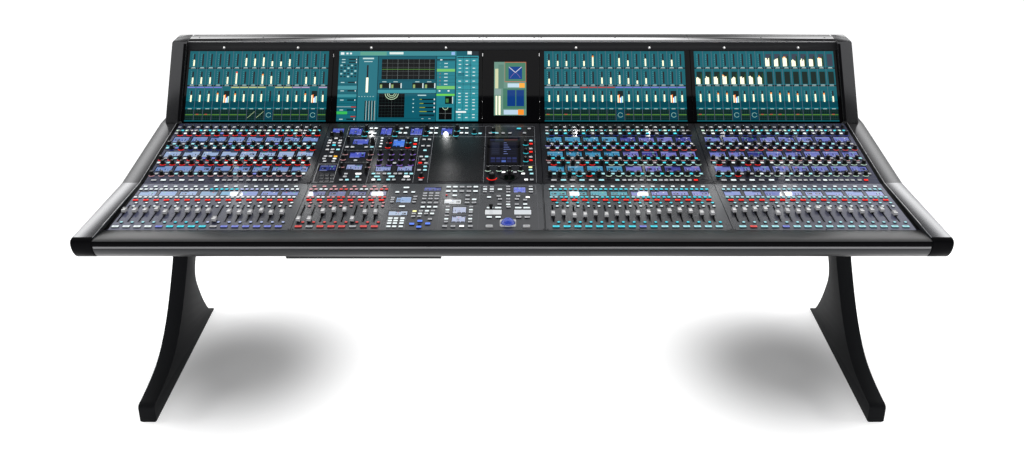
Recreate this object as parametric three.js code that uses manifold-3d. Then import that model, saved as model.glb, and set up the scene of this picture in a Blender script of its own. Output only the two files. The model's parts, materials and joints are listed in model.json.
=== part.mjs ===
// Large-format broadcast mixing console on two curved legs.
// Units are millimetres. X runs to the operator's right, Y away from the
// operator, Z up. The origin is the bottom centre of the overall box.
//
// Inside the file, depths are written as D: the distance behind the front edge
// of the armrest. The root group shifts them to the centred frame.
import * as THREE from "three";
import { mergeVertices } from "three/addons/utils/BufferGeometryUtils.js";
import Module from "manifold-3d";

const wasm = await Module();
wasm.setup();

// ---------------------------------------------------------------- dimensions
const DEPTH = 1139;            // overall depth, armrest edge to the back
const HALF_W = 1177;           // outer face of the lower cheeks
const CHEEK_IN = 1120;         // inner face of the lower cheeks
const GAP = 0.3;               // clearance between touching pieces

const BAYS = [-1120, -609, 93, 608, 1120];   // bay boundaries across the desk
const SEAM = 0.8;              // half of the visible joint between two bays

const FADER_FRONT = { d: 100, z: 700 };      // front edge of the fader panels
const BREAK = { d: 428, z: 704 };            // line where the slope starts
const SLOPE_TOP = { d: 850, z: 749 };        // foot of the screens
const SCREEN_FOOT = { d: 858, z: 752 };      // front face of the screens, foot
const SCREEN_HEAD = { d: 1046, z: 964 };     // front face of the screens, head

const SHEET = 3;               // panel thickness
const CHANNEL_PITCH = 30;      // distance between neighbouring faders
const SLOT_W = 5, SLOT_D0 = 55, SLOT_D1 = 168;  // fader slot, from the panel edge
// The cap centres travel from 60 to 160 in the same measure.
const FADER_X = [
  Array.from({ length: 16 }, (_, i) => -1101 + CHANNEL_PITCH * i),
  Array.from({ length: 8 }, (_, i) => -596 + CHANNEL_PITCH * i),
  Array.from({ length: 16 }, (_, i) => 116 + CHANNEL_PITCH * i),
  Array.from({ length: 16 }, (_, i) => 631 + CHANNEL_PITCH * i),
];

const LEG_OUT = 1150, LEG_IN = 1099;         // leg faces, 51 thick
const UNDERSIDE = 650;         // bottom of the body
const STRIP_T = 3;             // levelling strip under each leg

const KNOB_R = 6, KNOB_H = 14;
const BOARD_TOP = -20, BOARD_BOT = -22;      // circuit boards under the panels

// ------------------------------------------------------------------ materials
const mat = (hex, roughness, metalness = 0) =>
  new THREE.MeshStandardMaterial({ color: hex, roughness, metalness });
const M = {
  leg: mat(0x17181a, 0.38, 0.2),
  body: mat(0x1b1c1e, 0.45, 0.2),
  cheek: mat(0x3a3b3d, 0.4, 0.3),
  rail: mat(0x9a9b9d, 0.3, 0.8),
  pad: mat(0x141415, 0.55),
  panel: mat(0x34373c, 0.45, 0.3),
  screen: mat(0x0f7480, 0.12),
  glass: mat(0x10131c, 0.1),
  knob: mat(0x101011, 0.5),
  cap: mat(0xd8d9db, 0.35),
  key: mat(0xb9bcc2, 0.4),
  ball: mat(0x2a45c8, 0.15),
  pcb: mat(0x1e4a34, 0.6),
  steel: mat(0x8d9094, 0.35, 0.8),
  rubber: mat(0x0c0c0c, 0.8),
};

// ----------------------------------------------------------- geometry helpers
const clean = (g) => {
  g.deleteAttribute("normal");
  g.deleteAttribute("uv");
  return mergeVertices(g, 1e-3);
};
const box = (x0, x1, y0, y1, z0, z1) => {
  const g = new THREE.BoxGeometry(x1 - x0, y1 - y0, z1 - z0);
  g.translate((x0 + x1) / 2, (y0 + y1) / 2, (z0 + z1) / 2);
  return clean(g);
};
// A post standing along local Z with n sides.
const post = (x, y, r, z0, z1, n = 6, rTop = r) => {
  const g = new THREE.CylinderGeometry(rTop, r, z1 - z0, n);
  g.rotateX(Math.PI / 2);
  g.translate(x, y, (z0 + z1) / 2);
  return clean(g);
};
// A (depth, height) outline extruded along X.
const prismX = (pts, x0, x1) => {
  const g = new THREE.ExtrudeGeometry(
    new THREE.Shape(pts.map(([a, b]) => new THREE.Vector2(a, b))),
    { depth: x1 - x0, bevelEnabled: false });
  g.applyMatrix4(new THREE.Matrix4().set(0, 0, 1, x0, 1, 0, 0, 0, 0, 1, 0, 0, 0, 0, 0, 1));
  return clean(g);
};
// Openings of a flat sheet, each a tall tool that passes through it.
const rect = (x0, x1, y0, y1) => box(x0, x1, y0, y1, -40, 20);
const round = (x, y, r, n = 20) => post(x, y, r, -40, 20, n);
const solid = (g) => new wasm.Manifold(new wasm.Mesh({
  numProp: 3,
  vertProperties: new Float32Array(g.attributes.position.array),
  triVerts: new Uint32Array(g.index.array),
}));
const toGeometry = (m) => {
  const mesh = m.getMesh();
  const g = new THREE.BufferGeometry();
  g.setAttribute("position", new THREE.BufferAttribute(new Float32Array(mesh.vertProperties), 3));
  g.setIndex(new THREE.BufferAttribute(new Uint32Array(mesh.triVerts), 1));
  return g;
};
const join = (first, ...rest) => {
  let m = solid(first);
  for (const g of rest) m = m.add(solid(g));
  return toGeometry(m);
};
const cut = (first, ...tools) => {
  let m = solid(first);
  for (const g of tools) m = m.subtract(solid(g));
  return toGeometry(m);
};
// A flat sheet in local XY with openings, its top face at z = top.
const sheet = (x0, x1, y0, y1, holes, t = SHEET, top = 0) =>
  cut(box(x0, x1, y0, y1, top - t, top), ...holes);
const smooth = (pts, n) => new THREE.CatmullRomCurve3(
  pts.map(([a, b]) => new THREE.Vector3(a, b, 0)), false, "centripetal")
  .getPoints(n).map((p) => [p.x, p.y]);

// ----------------------------------------------------------------- the groups
const root = new THREE.Group();
root.position.set(0, -DEPTH / 2, 0);

const add = (parent, name, geometry, material) => {
  const m = new THREE.Mesh(geometry, material);
  m.name = name;
  parent.add(m);
  return m;
};

// Local plane of the fader panels: X across, Y back along the panel, Z out of it.
const flat = new THREE.Group();
flat.position.set(0, FADER_FRONT.d, FADER_FRONT.z);
flat.rotation.x = Math.atan2(BREAK.z - FADER_FRONT.z, BREAK.d - FADER_FRONT.d);
root.add(flat);
const FLAT_LEN = Math.hypot(BREAK.z - FADER_FRONT.z, BREAK.d - FADER_FRONT.d);

// Local plane of the channel panels.
const slope = new THREE.Group();
slope.position.set(0, BREAK.d, BREAK.z);
slope.rotation.x = Math.atan2(SLOPE_TOP.z - BREAK.z, SLOPE_TOP.d - BREAK.d);
root.add(slope);
const SLOPE_LEN = Math.hypot(SLOPE_TOP.z - BREAK.z, SLOPE_TOP.d - BREAK.d);

// Local plane of the screens.
const wall = new THREE.Group();
wall.position.set(0, SCREEN_FOOT.d, SCREEN_FOOT.z);
wall.rotation.x = Math.atan2(SCREEN_HEAD.z - SCREEN_FOOT.z, SCREEN_HEAD.d - SCREEN_FOOT.d);
root.add(wall);
const WALL_LEN = Math.hypot(SCREEN_HEAD.z - SCREEN_FOOT.z, SCREEN_HEAD.d - SCREEN_FOOT.d);

// ----------------------------------------------------------------------- legs
const legFront = smooth([[196, 54], [204, 62], [230, 63.5], [290, 68], [358, 77], [416, 91], [470, 114],
  [545, 163], [612, 223], [665, 279], [706, 327], [737, 380], [748, 434], [741, 488], [718, 540],
  [684, 592], [650, 640]], 32);
const legRear = smooth([[962, 640], [950, 560], [922, 480], [880, 400], [836, 335], [797, 286],
  [773, 257], [762, 231], [763, 205], [773, 178], [806, 112], [858, 43], [892, 20], [920, 9]], 28);
const legOutline = [[196, STRIP_T + GAP], ...legFront, [646, UNDERSIDE - GAP], [964, UNDERSIDE - GAP],
  ...legRear, [922, STRIP_T + GAP]];
// The beam's end plates seat in shallow pockets on the inner faces.
for (const [side, sx] of [["left", -1], ["right", 1]]) {
  const x0 = sx < 0 ? -LEG_OUT : LEG_IN, x1 = sx < 0 ? -LEG_IN : LEG_OUT;
  add(root, `${side}_leg`, prismX(legOutline, x0, x1), M.leg);
  const xa = Math.min(sx * (LEG_IN + 5), sx * (LEG_OUT - 5));
  const xb = Math.max(sx * (LEG_IN + 5), sx * (LEG_OUT - 5));
  add(root, `${side}_floor_strip`, box(xa, xb, 200, 918, 0, STRIP_T), M.rubber);
}
// Straight lipped channel that ties the two legs, open towards the operator.
const beamX = LEG_IN - GAP;
add(root, "cross_beam", prismX([[792, 470], [872, 470], [872, 540], [792, 540], [792, 528], [795, 528],
  [795, 537], [869, 537], [869, 473], [795, 473], [795, 482], [792, 482]], -beamX, beamX), M.body);

// ---------------------------------------------------------------- lower casing
// Folded tray that forms the underside and carries everything inside.
const panHalf = CHEEK_IN - 1;
add(root, "base_pan", prismX([[51, 688], [51, UNDERSIDE], [1010, UNDERSIDE], [1088, 682], [1088, 684.6],
  [1009, 653], [54, 653], [54, 688]], -panHalf, panHalf), M.body);

// Armrest: rounded nose, gently falling top.
const restHalf = CHEEK_IN - GAP;
const noseTop = [[99.4, 700.2], [80, 704.5], [50, 709], [24, 711.6], [10, 711.4], [4, 709.4], [0.8, 705.6],
  [0, 702], [0.8, 697.6], [4, 693.6], [9, 692], [99.4, 692]];
add(root, "armrest", prismX([...noseTop].reverse(), -restHalf, restHalf), M.pad);
// Curved rail below it, a bent aluminium section.
add(root, "front_rail", prismX([[3, 691.6], [6, 682], [13, 670], [22, 660], [32, 653], [42, 650],
  [50.6, 650], [50.6, 654], [43, 654], [34.5, 656.6], [25.4, 663], [16.8, 672.6], [10.4, 683.4], [8, 691.6]],
  -restHalf, restHalf), M.rail);

// Lower cheeks: one closed plate each side, nose to back.
const cheekTop = [[0.6, 706], [3, 711], [9, 714.6], [20, 716], [120, 713.5], [428, 706.5], [850, 750],
  [1129, 750], [1129, 700], [1112, 676], [1074, 658], [1030, UNDERSIDE], [42, UNDERSIDE],
  [30, 653.4], [20, 660.5], [11, 670.5], [4, 682.5], [0, 697]];
for (const [side, sx] of [["left", -1], ["right", 1]]) {
  const a = sx * (CHEEK_IN + GAP), b = sx * HALF_W;
  add(root, `${side}_cheek`, prismX([...cheekTop].reverse(), Math.min(a, b), Math.max(a, b)), M.cheek);
  const c = sx * 1110, d = sx * 1160;
  add(root, `${side}_screen_cheek`, prismX([[848, 750.3], [DEPTH, 750.3], [DEPTH, 970], [1134, 978],
    [1042, 978], [1034, 974.4]], Math.min(c, d), Math.max(c, d)), M.cheek);
}

// Top rail with the lamp strip: eight small round lamps over the screens.
const railHalf = 1110 - GAP;
const LAMP_X = [-985, -732, -481, -226, 219, 470, 726, 979];
{
  const m = wall;
  const w0 = WALL_LEN - 18.5, w1 = WALL_LEN;
  const strip = box(-railHalf, railHalf, w0, w1, -12, 0);
  const lamps = LAMP_X.map((x) => post(x, w0 + 8, 3.2, -2, 1.5, 8));
  // Profile of the roof section, written in the plane of the screens.
  const toWall = ([d, z]) => {
    const dy = d - SCREEN_FOOT.d, dz = z - SCREEN_FOOT.z, a = wall.rotation.x;
    return [dy * Math.cos(a) + dz * Math.sin(a), -dy * Math.sin(a) + dz * Math.cos(a)];
  };
  const roof = prismX([[1045, 963.2], [1049, 971], [1056, 978], [1138.7, 978], [1138.7, 973.5],
    [1062, 973.5], [1052.5, 956.6]].map(toWall).reverse(), -railHalf, railHalf);
  add(m, "top_rail", join(strip, roof, ...lamps), M.rail);
}

// Back of the screen housing with ventilation slots, and the connector plate below.
{
  const L = 1109.4, D0 = 1131, D1 = 1134.5;
  const back = sheet(-L, L, 746, 972.8,
    Array.from({ length: 12 }, (_, i) => rect(-930 + i * 160, -840 + i * 160, 900, 912)), D1 - D0, 0);
  back.applyMatrix4(new THREE.Matrix4().set(1, 0, 0, 0, 0, 0, -1, D0, 0, 1, 0, 0, 0, 0, 0, 1));
  const lip = box(-L, L, 1096, D1 - 1, 745.8, 749);
  add(root, "rear_cover", join(back, lip), M.body);
  const plate = box(-1060, 1060, 1090, 1093.5, 685.5, 745);
  const items = [];
  for (let i = 0; i < 16; i++) {
    const g = post(-1000 + 92 * i, 716, 11, 0, 7, 6);
    g.applyMatrix4(new THREE.Matrix4().set(1, 0, 0, 0, 0, 0, 1, 1093, 0, 1, 0, 0, 0, 0, 0, 1));
    const idx = g.index.array;
    for (let k = 0; k < idx.length; k += 3) { const t = idx[k]; idx[k] = idx[k + 1]; idx[k + 1] = t; }
    items.push(g);
  }
  for (let i = 0; i < 4; i++) items.push(box(510 + 60 * i, 550 + 60 * i, 1093, 1099, 706, 726));
  items.push(box(880, 960, 1093, 1098, 700, 732));
  const inlet = box(893, 921, 1095, 1100, 706, 726);
  let m = solid(plate);
  for (const g of items) m = m.add(solid(g));
  m = m.subtract(solid(inlet));
  add(root, "connector_panel", toGeometry(m), M.steel);
}

// -------------------------------------------------------------------- screens
const screenRow = [
  ["display_1", -1108.5, -610], ["display_2", -608.4, -101], ["display_small", -99.4, 92.2],
  ["display_3", 93.8, 607.2], ["display_4", 608.8, 1108.5]];
for (const [name, x0, x1] of screenRow) {
  const y1 = WALL_LEN - 19;
  const slab = box(x0, x1, 0.4, y1, -16, 0);
  const recess = box(x0 + 10, x1 - 10, 9, y1 - 5, -1, 1);
  add(wall, name, cut(slab, recess), M.screen);
}

// -------------------------------------------------------------- channel panels
// Rows up the slope: depth windows for knobs, displays and keys.
const KNOB_ROWS = [56, 130, 160, 233, 262, 339];
const DISPLAY_ROWS = [[76, 116], [177, 217], [283, 322]];
const KEY_ROWS = [[11, 23], [356, 366]];
const bayBox = (i) => [Math.max(BAYS[i], -CHEEK_IN) + SEAM, Math.min(BAYS[i + 1], CHEEK_IN) - SEAM];

for (const bay of [0, 2, 3]) {
  const [x0, x1] = bayBox(bay);
  const n = bay === 0 ? 1 : bay + 1;
  const wx0 = FADER_X[bay][0] - 10, wx1 = FADER_X[bay][15] + 27;
  const holes = [];
  for (const u of KNOB_ROWS) holes.push(rect(wx0, wx1, u - 7, u + 7));
  for (const [a, b] of [...DISPLAY_ROWS, ...KEY_ROWS]) holes.push(rect(wx0, wx1, a, b));
  add(slope, `channel_panel_${n}`, sheet(x0, x1, 1, SLOPE_LEN - 1, holes), M.panel);
  const parts = [];
  KNOB_ROWS.forEach((u, row) => {
    const shift = [0, 14, 0, 14, 0, 14][row];
    for (const x of FADER_X[bay]) parts.push(post(x + shift, u, KNOB_R, BOARD_TOP - 1, KNOB_H, 4));
  });
  for (const [a, b] of DISPLAY_ROWS) parts.push(box(wx0 + 1, wx1 - 1, a + 0.5, b - 0.5, BOARD_TOP - 1, -0.6));
  for (const [a, b] of KEY_ROWS) parts.push(box(wx0 + 1, wx1 - 1, a + 1, b - 1, BOARD_TOP - 1, 2));
  add(slope, `encoder_board_${n}`,
    join(box(wx0 - 4, wx1 + 4, 10, SLOPE_LEN - 12, BOARD_BOT, BOARD_TOP), ...parts), M.pcb);
}

// Master section, bay 2.
const INSERT = [-255, -88, 12, 318];
const CONTROL = [-77, 24, 128, 312];
const JOY = { x: -7.8, u: 39, depth: -18 };
const MON = { x: -61.4, u: 36 };
{
  const [x0, x1] = bayBox(1);
  const holes = [
    rect(-597, -551, 296, 392),          // display and two knobs of the first column
    rect(-600, -548, 118, 282),          // its keys
    rect(-600, -548, 20, 108),           // display and number pad
    rect(-536, 68, 334, 394),            // upper strip of displays and knobs
    rect(-536, -520, 40, 308), rect(-462, -446, 40, 308),
    rect(-516, -466, 252, 300), rect(-516, -466, 172, 210), rect(-516, -466, 92, 130),
    rect(-434, -306, 252, 312),          // dynamics row
    rect(-434, -306, 132, 244),          // knob grid
    rect(-434, -306, 82, 122), rect(-434, -306, 20, 74),
    rect(-293, -263, 60, 312), rect(-293, -263, 20, 52),
    rect(INSERT[0], INSERT[1], INSERT[2], INSERT[3]),
    rect(CONTROL[0], CONTROL[1], CONTROL[2], CONTROL[3]),
    rect(30, 68, 132, 308),
    rect(-80, 44, 84, 100),
    rect(28, 70, 16, 76),
    round(JOY.x, JOY.u, 16, 16), round(MON.x, MON.u, 8, 16),
  ];
  add(slope, "channel_panel_2", sheet(x0, x1, 1, SLOPE_LEN - 1, holes), M.panel);
  const P = [];
  const k = (x, u, h = KNOB_H) => P.push(post(x, u, KNOB_R, BOARD_TOP - 1, h, 5));
  const b = (a0, a1, c0, c1, h = 2) => P.push(box(a0, a1, c0, c1, BOARD_TOP - 1, h));
  b(-596, -552, 342, 391, -0.6); k(-586, 318); k(-562, 318);
  b(-598, -550, 122, 278);
  b(-599, -549, 74, 107, -0.6); b(-599, -549, 22, 68, 4);
  for (const x of [-508, -378, -251, -128]) { b(x - 27, x + 27, 337, 391, -0.6); k(x + 39, 362, 26); b(x + 52, x + 78, 338, 388); }
  k(-3, 362); k(36, 362);
  for (const u of [280, 190, 110]) b(-515, -467, u - 18, u + 18, -0.6);
  for (const u of [286, 262, 196, 172, 112, 88]) { k(-528, u); k(-454, u); }
  b(-528 - 6, -522, 46, 70); b(-460, -448, 46, 70);
  b(-412, -360, 256, 308, -0.6); k(-424, 282, 26); k(-345, 282, 26); b(-332, -310, 256, 308);
  for (const x of [-420, -386, -352, -318]) for (const u of [154, 190, 226]) k(x, u);
  b(-430, -374, 84, 120, -0.6); b(-366, -310, 84, 120, -0.6);
  b(-430, -310, 24, 70);
  b(-290, -266, 90, 306); k(-278, 74); b(-290, -266, 24, 48);
  for (const u of [160, 210, 260]) { k(40, u); b(52, 66, u - 12, u + 12); }
  for (const x of [-72, -38, -4, 30]) k(x, 92);
  b(31, 67, 20, 72);
  const board = box(-604, 76, 10, SLOPE_LEN - 12, BOARD_BOT, BOARD_TOP);
  add(slope, "encoder_board_2", cut(join(board, ...P),
    box(JOY.x - 22, JOY.x + 22, 0, JOY.u + 22, BOARD_BOT - 1, BOARD_TOP + 4),
    box(MON.x - 9, MON.x + 9, MON.u - 9, MON.u + 9, BOARD_BOT - 1, BOARD_TOP + 4)), M.pcb);
  add(slope, "insert_panel", box(INSERT[0] + 0.5, INSERT[1] - 0.5, INSERT[2] + 0.5, INSERT[3] - 0.5, -3, 0.4), M.panel);
  add(slope, "control_display", box(CONTROL[0] + 0.5, CONTROL[1] - 0.5, CONTROL[2] + 0.5, CONTROL[3] - 0.5, -14, -0.5), M.glass);
  add(slope, "monitor_knob", join(post(MON.x, MON.u, 10, 1.2, 17, 16, 9), post(MON.x, MON.u, 3, -26, 2, 10)), M.knob);

  // Joystick: a square gimbal turning about X, the stick turning about Y in it.
  const g0 = 14, g1 = 9.5, gz = 3;
  add(slope, "joystick_gimbal", cut(
    join(box(JOY.x - g0, JOY.x + g0, JOY.u - g0, JOY.u + g0, JOY.depth - gz, JOY.depth + gz),
      box(JOY.x - 18, JOY.x + 18, JOY.u - 1.5, JOY.u + 1.5, JOY.depth - 1.5, JOY.depth + 1.5)),
    box(JOY.x - g1, JOY.x + g1, JOY.u - g1, JOY.u + g1, JOY.depth - 9, JOY.depth + 9)), M.steel);
  add(slope, "joystick", join(
    box(JOY.x - 5, JOY.x + 5, JOY.u - 9, JOY.u + 9, JOY.depth - 2.5, JOY.depth + 2.5),
    post(JOY.x, JOY.u, 2.5, JOY.depth, 12, 10), post(JOY.x, JOY.u, 4, 11, 25, 12, 5.5)), M.knob);
}

// ---------------------------------------------------------------- fader panels
// Local Y of the flat plane is measured from the front edge of the panel.
const KEY_STRIPS = [[13, 27], [195, 207], [274, 287], [296, 307]];
const fp = (bay) => {
  const [x0, x1] = bayBox(bay);
  return [x0, x1];
};
for (const bay of [0, 2, 3]) {
  const [x0, x1] = fp(bay);
  const n = bay === 0 ? 1 : bay + 1;
  const holes = [];
  for (const x of FADER_X[bay]) holes.push(rect(x - SLOT_W / 2, x + SLOT_W / 2, SLOT_D0, SLOT_D1));
  const wx0 = FADER_X[bay][0] - 12, wx1 = FADER_X[bay][15] + 15;
  for (const [a, b] of KEY_STRIPS) holes.push(rect(wx0, wx1, a, b));
  add(flat, `fader_panel_${n}`, sheet(x0, x1, 0.4, FLAT_LEN - 1, holes), M.panel);
  // Keys of one bay on a shared switch mat, open around the fader field.
  const keys = [];
  for (const [a, b] of KEY_STRIPS) {
    const wide = a < 30 ? 10 : 6;
    if (a > 270) keys.push(box(wx0 + 1, wx1 - 1, a + 1, b - 1, -8, 3));
    else for (const x of FADER_X[bay]) keys.push(box(x - wide, x + wide, a + 1, b - 1, -8, 3));
  }
  const plate = sheet(wx0 - 3, wx1 + 3, 8, 320, [rect(wx0 + 1, wx1 - 1, 48, 176)], 2.5, -6);
  add(flat, `key_mat_${n}`, join(plate, ...keys), M.key);
}
// Master section lower panel.
const BALL = { x: -11.2, y: 45, r: 20, z: -4 };
const BIG_KEYS = [["trackball_left_key", -73, -53, 14, 28], ["trackball_right_key", 30, 50, 14, 28]];
// Groups of master keys: x0, x1, y0, y1.
const KEY_BLOCKS = [
  [-350, -336, 176, 222], [-292, -278, 176, 222], [-325, -308, 144, 158], [-347, -284, 250, 264],
  [-325, -306, 284, 296], [-350, -300, 14, 78], [-264, -212, 146, 258], [-286, -218, 64, 128],
  [-287, -271, 28, 44], [-243, -227, 28, 44], [-265, -249, 12, 60],
  [-198, -101, 258, 308], [-176, -162, 226, 240], [-138, -103, 176, 242],
  [-192, -178, 46, 154], [-125, -111, 46, 154], [-194, -108, 14, 30],
  [-88, -54, 258, 304], [-43, -29, 272, 288], [-18, -4, 146, 304], [50, 63, 258, 304],
  [-74, -29, 142, 154], [8, 54, 142, 154], [-74, -29, 76, 88], [8, 54, 76, 88],
  [-75, -59, 212, 228], [-47, -29, 160, 236], [8, 22, 160, 236], [30, 55, 160, 230],
];
{
  const [x0, x1] = fp(1);
  const holes = [];
  for (const x of FADER_X[1]) holes.push(rect(x - SLOT_W / 2, x + SLOT_W / 2, SLOT_D0, SLOT_D1));
  const wx0 = FADER_X[1][0] - 10, wx1 = FADER_X[1][7] + 15;
  for (const [a, b] of KEY_STRIPS) holes.push(rect(wx0, wx1, a, b));
  for (const [a, b, c, d] of KEY_BLOCKS) holes.push(rect(a - 1, b + 1, c - 1, d + 1));
  holes.push(round(BALL.x, BALL.y, BALL.r + 1.2, 24));
  for (const [, a, b, c, d] of BIG_KEYS) holes.push(rect(a - 0.8, b + 0.8, c - 0.8, d + 0.8));
  add(flat, "fader_panel_2", sheet(x0, x1, 0.4, FLAT_LEN - 1, holes), M.panel);
  const keys = [];
  for (const [a, b] of KEY_STRIPS) {
    const wide = a < 30 ? 10 : 6;
    if (a > 270) keys.push(box(wx0 + 1, wx1 - 1, a + 1, b - 1, -8, 3));
    else for (const x of FADER_X[1]) keys.push(box(x - wide, x + wide, a + 1, b - 1, -8, 3));
  }
  for (const [a, b, c, d] of KEY_BLOCKS) keys.push(box(a, b, c, d, -8, 3));
  const plate = sheet(wx0 - 1, 72, 8, 320,
    [rect(wx0 + 1.5, wx1 - 1, 48, 176), rect(-35, 13, 20, 71),
      rect(-77, -50, 10, 32), rect(27, 53, 10, 32)], 2.5, -6);
  add(flat, "key_mat_2", join(plate, ...keys), M.key);

  const ball = new THREE.SphereGeometry(BALL.r, 14, 9);
  ball.rotateX(Math.PI / 2);
  ball.translate(BALL.x, BALL.y, BALL.z);
  add(flat, "trackball", clean(ball), M.ball);
  for (const [name, a, b, c, d] of BIG_KEYS) add(flat, name, box(a, b, c, d, -7, 4), M.key);
}

// --------------------------------------------------------------------- faders
// Cap, stem through the slot, and carriage below the panel.
const capParts = (x, y, foot = -27) => [
  box(x - 5.6, x + 5.6, y - 12, y + 12, 2, 12),
  box(x - 1.5, x + 1.5, y - 3, y + 3, foot, 3),
];
const bank = (xs, ys) => {
  const lo = Math.min(...ys) - 8, hi = Math.max(...ys) + 8;
  return join(box(xs[0] - 7, xs[xs.length - 1] + 7, lo, hi, -31, -26),
    ...xs.flatMap((x, i) => capParts(x, ys[i])));
};
const REST_1 = [120, 120, 120, 129, 108, 123, 120, 117, 117, 60, 111, 106, 106, 118, 104, 108];
const APART = 9;                             // the tenth fader of bay 1 stands apart
const others = (list) => list.filter((_, i) => i !== APART);
add(flat, "fader_bank_1", bank(others(FADER_X[0]), others(REST_1)), M.cap);
add(flat, "fader_1_10", join(...capParts(FADER_X[0][APART], REST_1[APART], -21),
  box(FADER_X[0][APART] - 9, FADER_X[0][APART] + 9, REST_1[APART] - 4, REST_1[APART] + 8, -22, -18)), M.cap);
const REST_2 = [60, 60, 115, 123, 125, 60, 108, 109];
REST_2.forEach((y, i) => {
  const x = FADER_X[1][i];
  add(flat, `fader_2_${i + 1}`, join(...capParts(x, y), box(x - 9, x + 9, y - 5, y + 8, -31, -26)), M.cap);
});
const REST_3 = [97, 104, 85, 89, 101, 89, 99, 99, 102, 106, 110, 115, 120, 114, 103, 101];
add(flat, "fader_bank_3", bank(FADER_X[2], REST_3), M.cap);
const REST_4 = [120, 123, 128, 128, 103, 116, 113, 120, 135, 128, 125, 120, 113, 120, 125, 101];
add(flat, "fader_bank_4", bank(FADER_X[3], REST_4), M.cap);

// ------------------------------------------------------------ keyboard drawer
add(root, "keyboard_drawer", prismX([[60, 634], [64, 630], [420, 630], [420, 646], [60, 646]], -619, -194), M.body);
add(root, "drawer_frame", prismX([[90, 647.4], [440, 647.4], [440, UNDERSIDE - GAP], [90, UNDERSIDE - GAP]], -628, -185)
  .clone(), M.steel);
{
  const old = root.children.find((m) => m.name === "drawer_frame");
  old.geometry = join(old.geometry, box(-628, -622, 90, 440, 628, 648.6), box(-191, -185, 90, 440, 628, 648.6));
}

// ------------------------------------------------------------------ electronics
{
  const fan = box(556, 600, 539, 546, 660, 684);
  add(root, "power_supply", cut(box(300, 620, 540, 780, 653.3, 690), fan), M.steel);
  const chips = [[-420, 600], [-320, 600], [-220, 600], [-120, 600], [-370, 700], [-170, 700]]
    .map(([x, y]) => box(x - 20, x + 20, y - 20, y + 20, 664, 669));
  const feet = [[-490, 540], [-490, 780], [-20, 540], [-20, 780]].map(([x, y]) => post(x, y, 4, 653.3, 663, 6));
  add(root, "processor_board", join(box(-500, -10, 530, 790, 662, 664.4), ...chips, ...feet), M.pcb);
}

export default root;
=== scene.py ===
"""Looks of a large-format broadcast mixing console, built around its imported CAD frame."""
import json
import math
import random

import bmesh
import bpy
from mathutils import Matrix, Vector

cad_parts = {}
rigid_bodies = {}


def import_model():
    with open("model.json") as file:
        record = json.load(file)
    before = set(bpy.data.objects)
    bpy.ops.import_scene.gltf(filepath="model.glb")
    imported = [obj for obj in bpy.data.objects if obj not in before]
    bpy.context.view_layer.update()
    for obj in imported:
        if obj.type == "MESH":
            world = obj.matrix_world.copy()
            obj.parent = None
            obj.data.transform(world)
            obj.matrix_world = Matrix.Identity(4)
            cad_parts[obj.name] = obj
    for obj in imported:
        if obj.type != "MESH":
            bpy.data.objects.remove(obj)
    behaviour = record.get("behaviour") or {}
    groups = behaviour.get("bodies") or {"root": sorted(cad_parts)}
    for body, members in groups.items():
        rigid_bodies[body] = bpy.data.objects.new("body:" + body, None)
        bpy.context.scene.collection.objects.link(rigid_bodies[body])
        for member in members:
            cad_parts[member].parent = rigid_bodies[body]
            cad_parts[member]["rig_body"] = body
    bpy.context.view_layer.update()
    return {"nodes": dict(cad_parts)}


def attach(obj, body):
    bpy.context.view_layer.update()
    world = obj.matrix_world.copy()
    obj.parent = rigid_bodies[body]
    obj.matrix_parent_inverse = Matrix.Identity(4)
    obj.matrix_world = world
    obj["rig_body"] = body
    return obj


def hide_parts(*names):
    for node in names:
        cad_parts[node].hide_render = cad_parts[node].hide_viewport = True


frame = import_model()
NODES = frame["nodes"]
rnd = random.Random(11)
HALF_DEPTH = 569.5

# ------------------------------------------------------------------ the camera
cam = bpy.data.cameras.new("camera")
cam.lens, cam.sensor_width, cam.clip_end = 38.5, 36.0, 100.0
cam_ob = bpy.data.objects.new("camera", cam)
cam_ob.location = (0.0, -3.2015, 1.9516)
cam_ob.rotation_euler = (math.radians(65.0), 0.0, 0.0)
bpy.context.scene.collection.objects.link(cam_ob)
bpy.context.scene.camera = cam_ob


# --------------------------------------------------------------- local planes
class Plane:
    """Local millimetres (across, along, out of the plane) to metres in the row frame."""

    def __init__(self, d, z, angle):
        self.d, self.z, self.c, self.s = d, z, math.cos(angle), math.sin(angle)

    def __call__(self, x, v, h):
        return (x / 1000, (self.d - HALF_DEPTH + v * self.c - h * self.s) / 1000,
                (self.z + v * self.s + h * self.c) / 1000)


FLAT = Plane(100, 700, math.atan2(4, 328))
SLOPE = Plane(428, 704, math.atan2(45, 422))
WALL = Plane(858, 752, math.atan2(212, 188))
ROOT = Plane(0, 0, 0)
FLAT_LEN = math.hypot(4, 328)
SLOPE_LEN = math.hypot(45, 422)
WALL_LEN = math.hypot(212, 188)


class Back:
    """Plane of the rear faces: across (mirrored), up, and out towards the back."""

    def __init__(self, d):
        self.d = d

    def __call__(self, x, v, h):
        return (-x / 1000, (self.d - HALF_DEPTH + h) / 1000, v / 1000)


# ------------------------------------------------------------------ materials
def lin(r, g, b):
    return tuple(c / 12.92 if c <= 0.04045 else ((c + 0.055) / 1.055) ** 2.4 for c in (r / 255, g / 255, b / 255))


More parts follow.
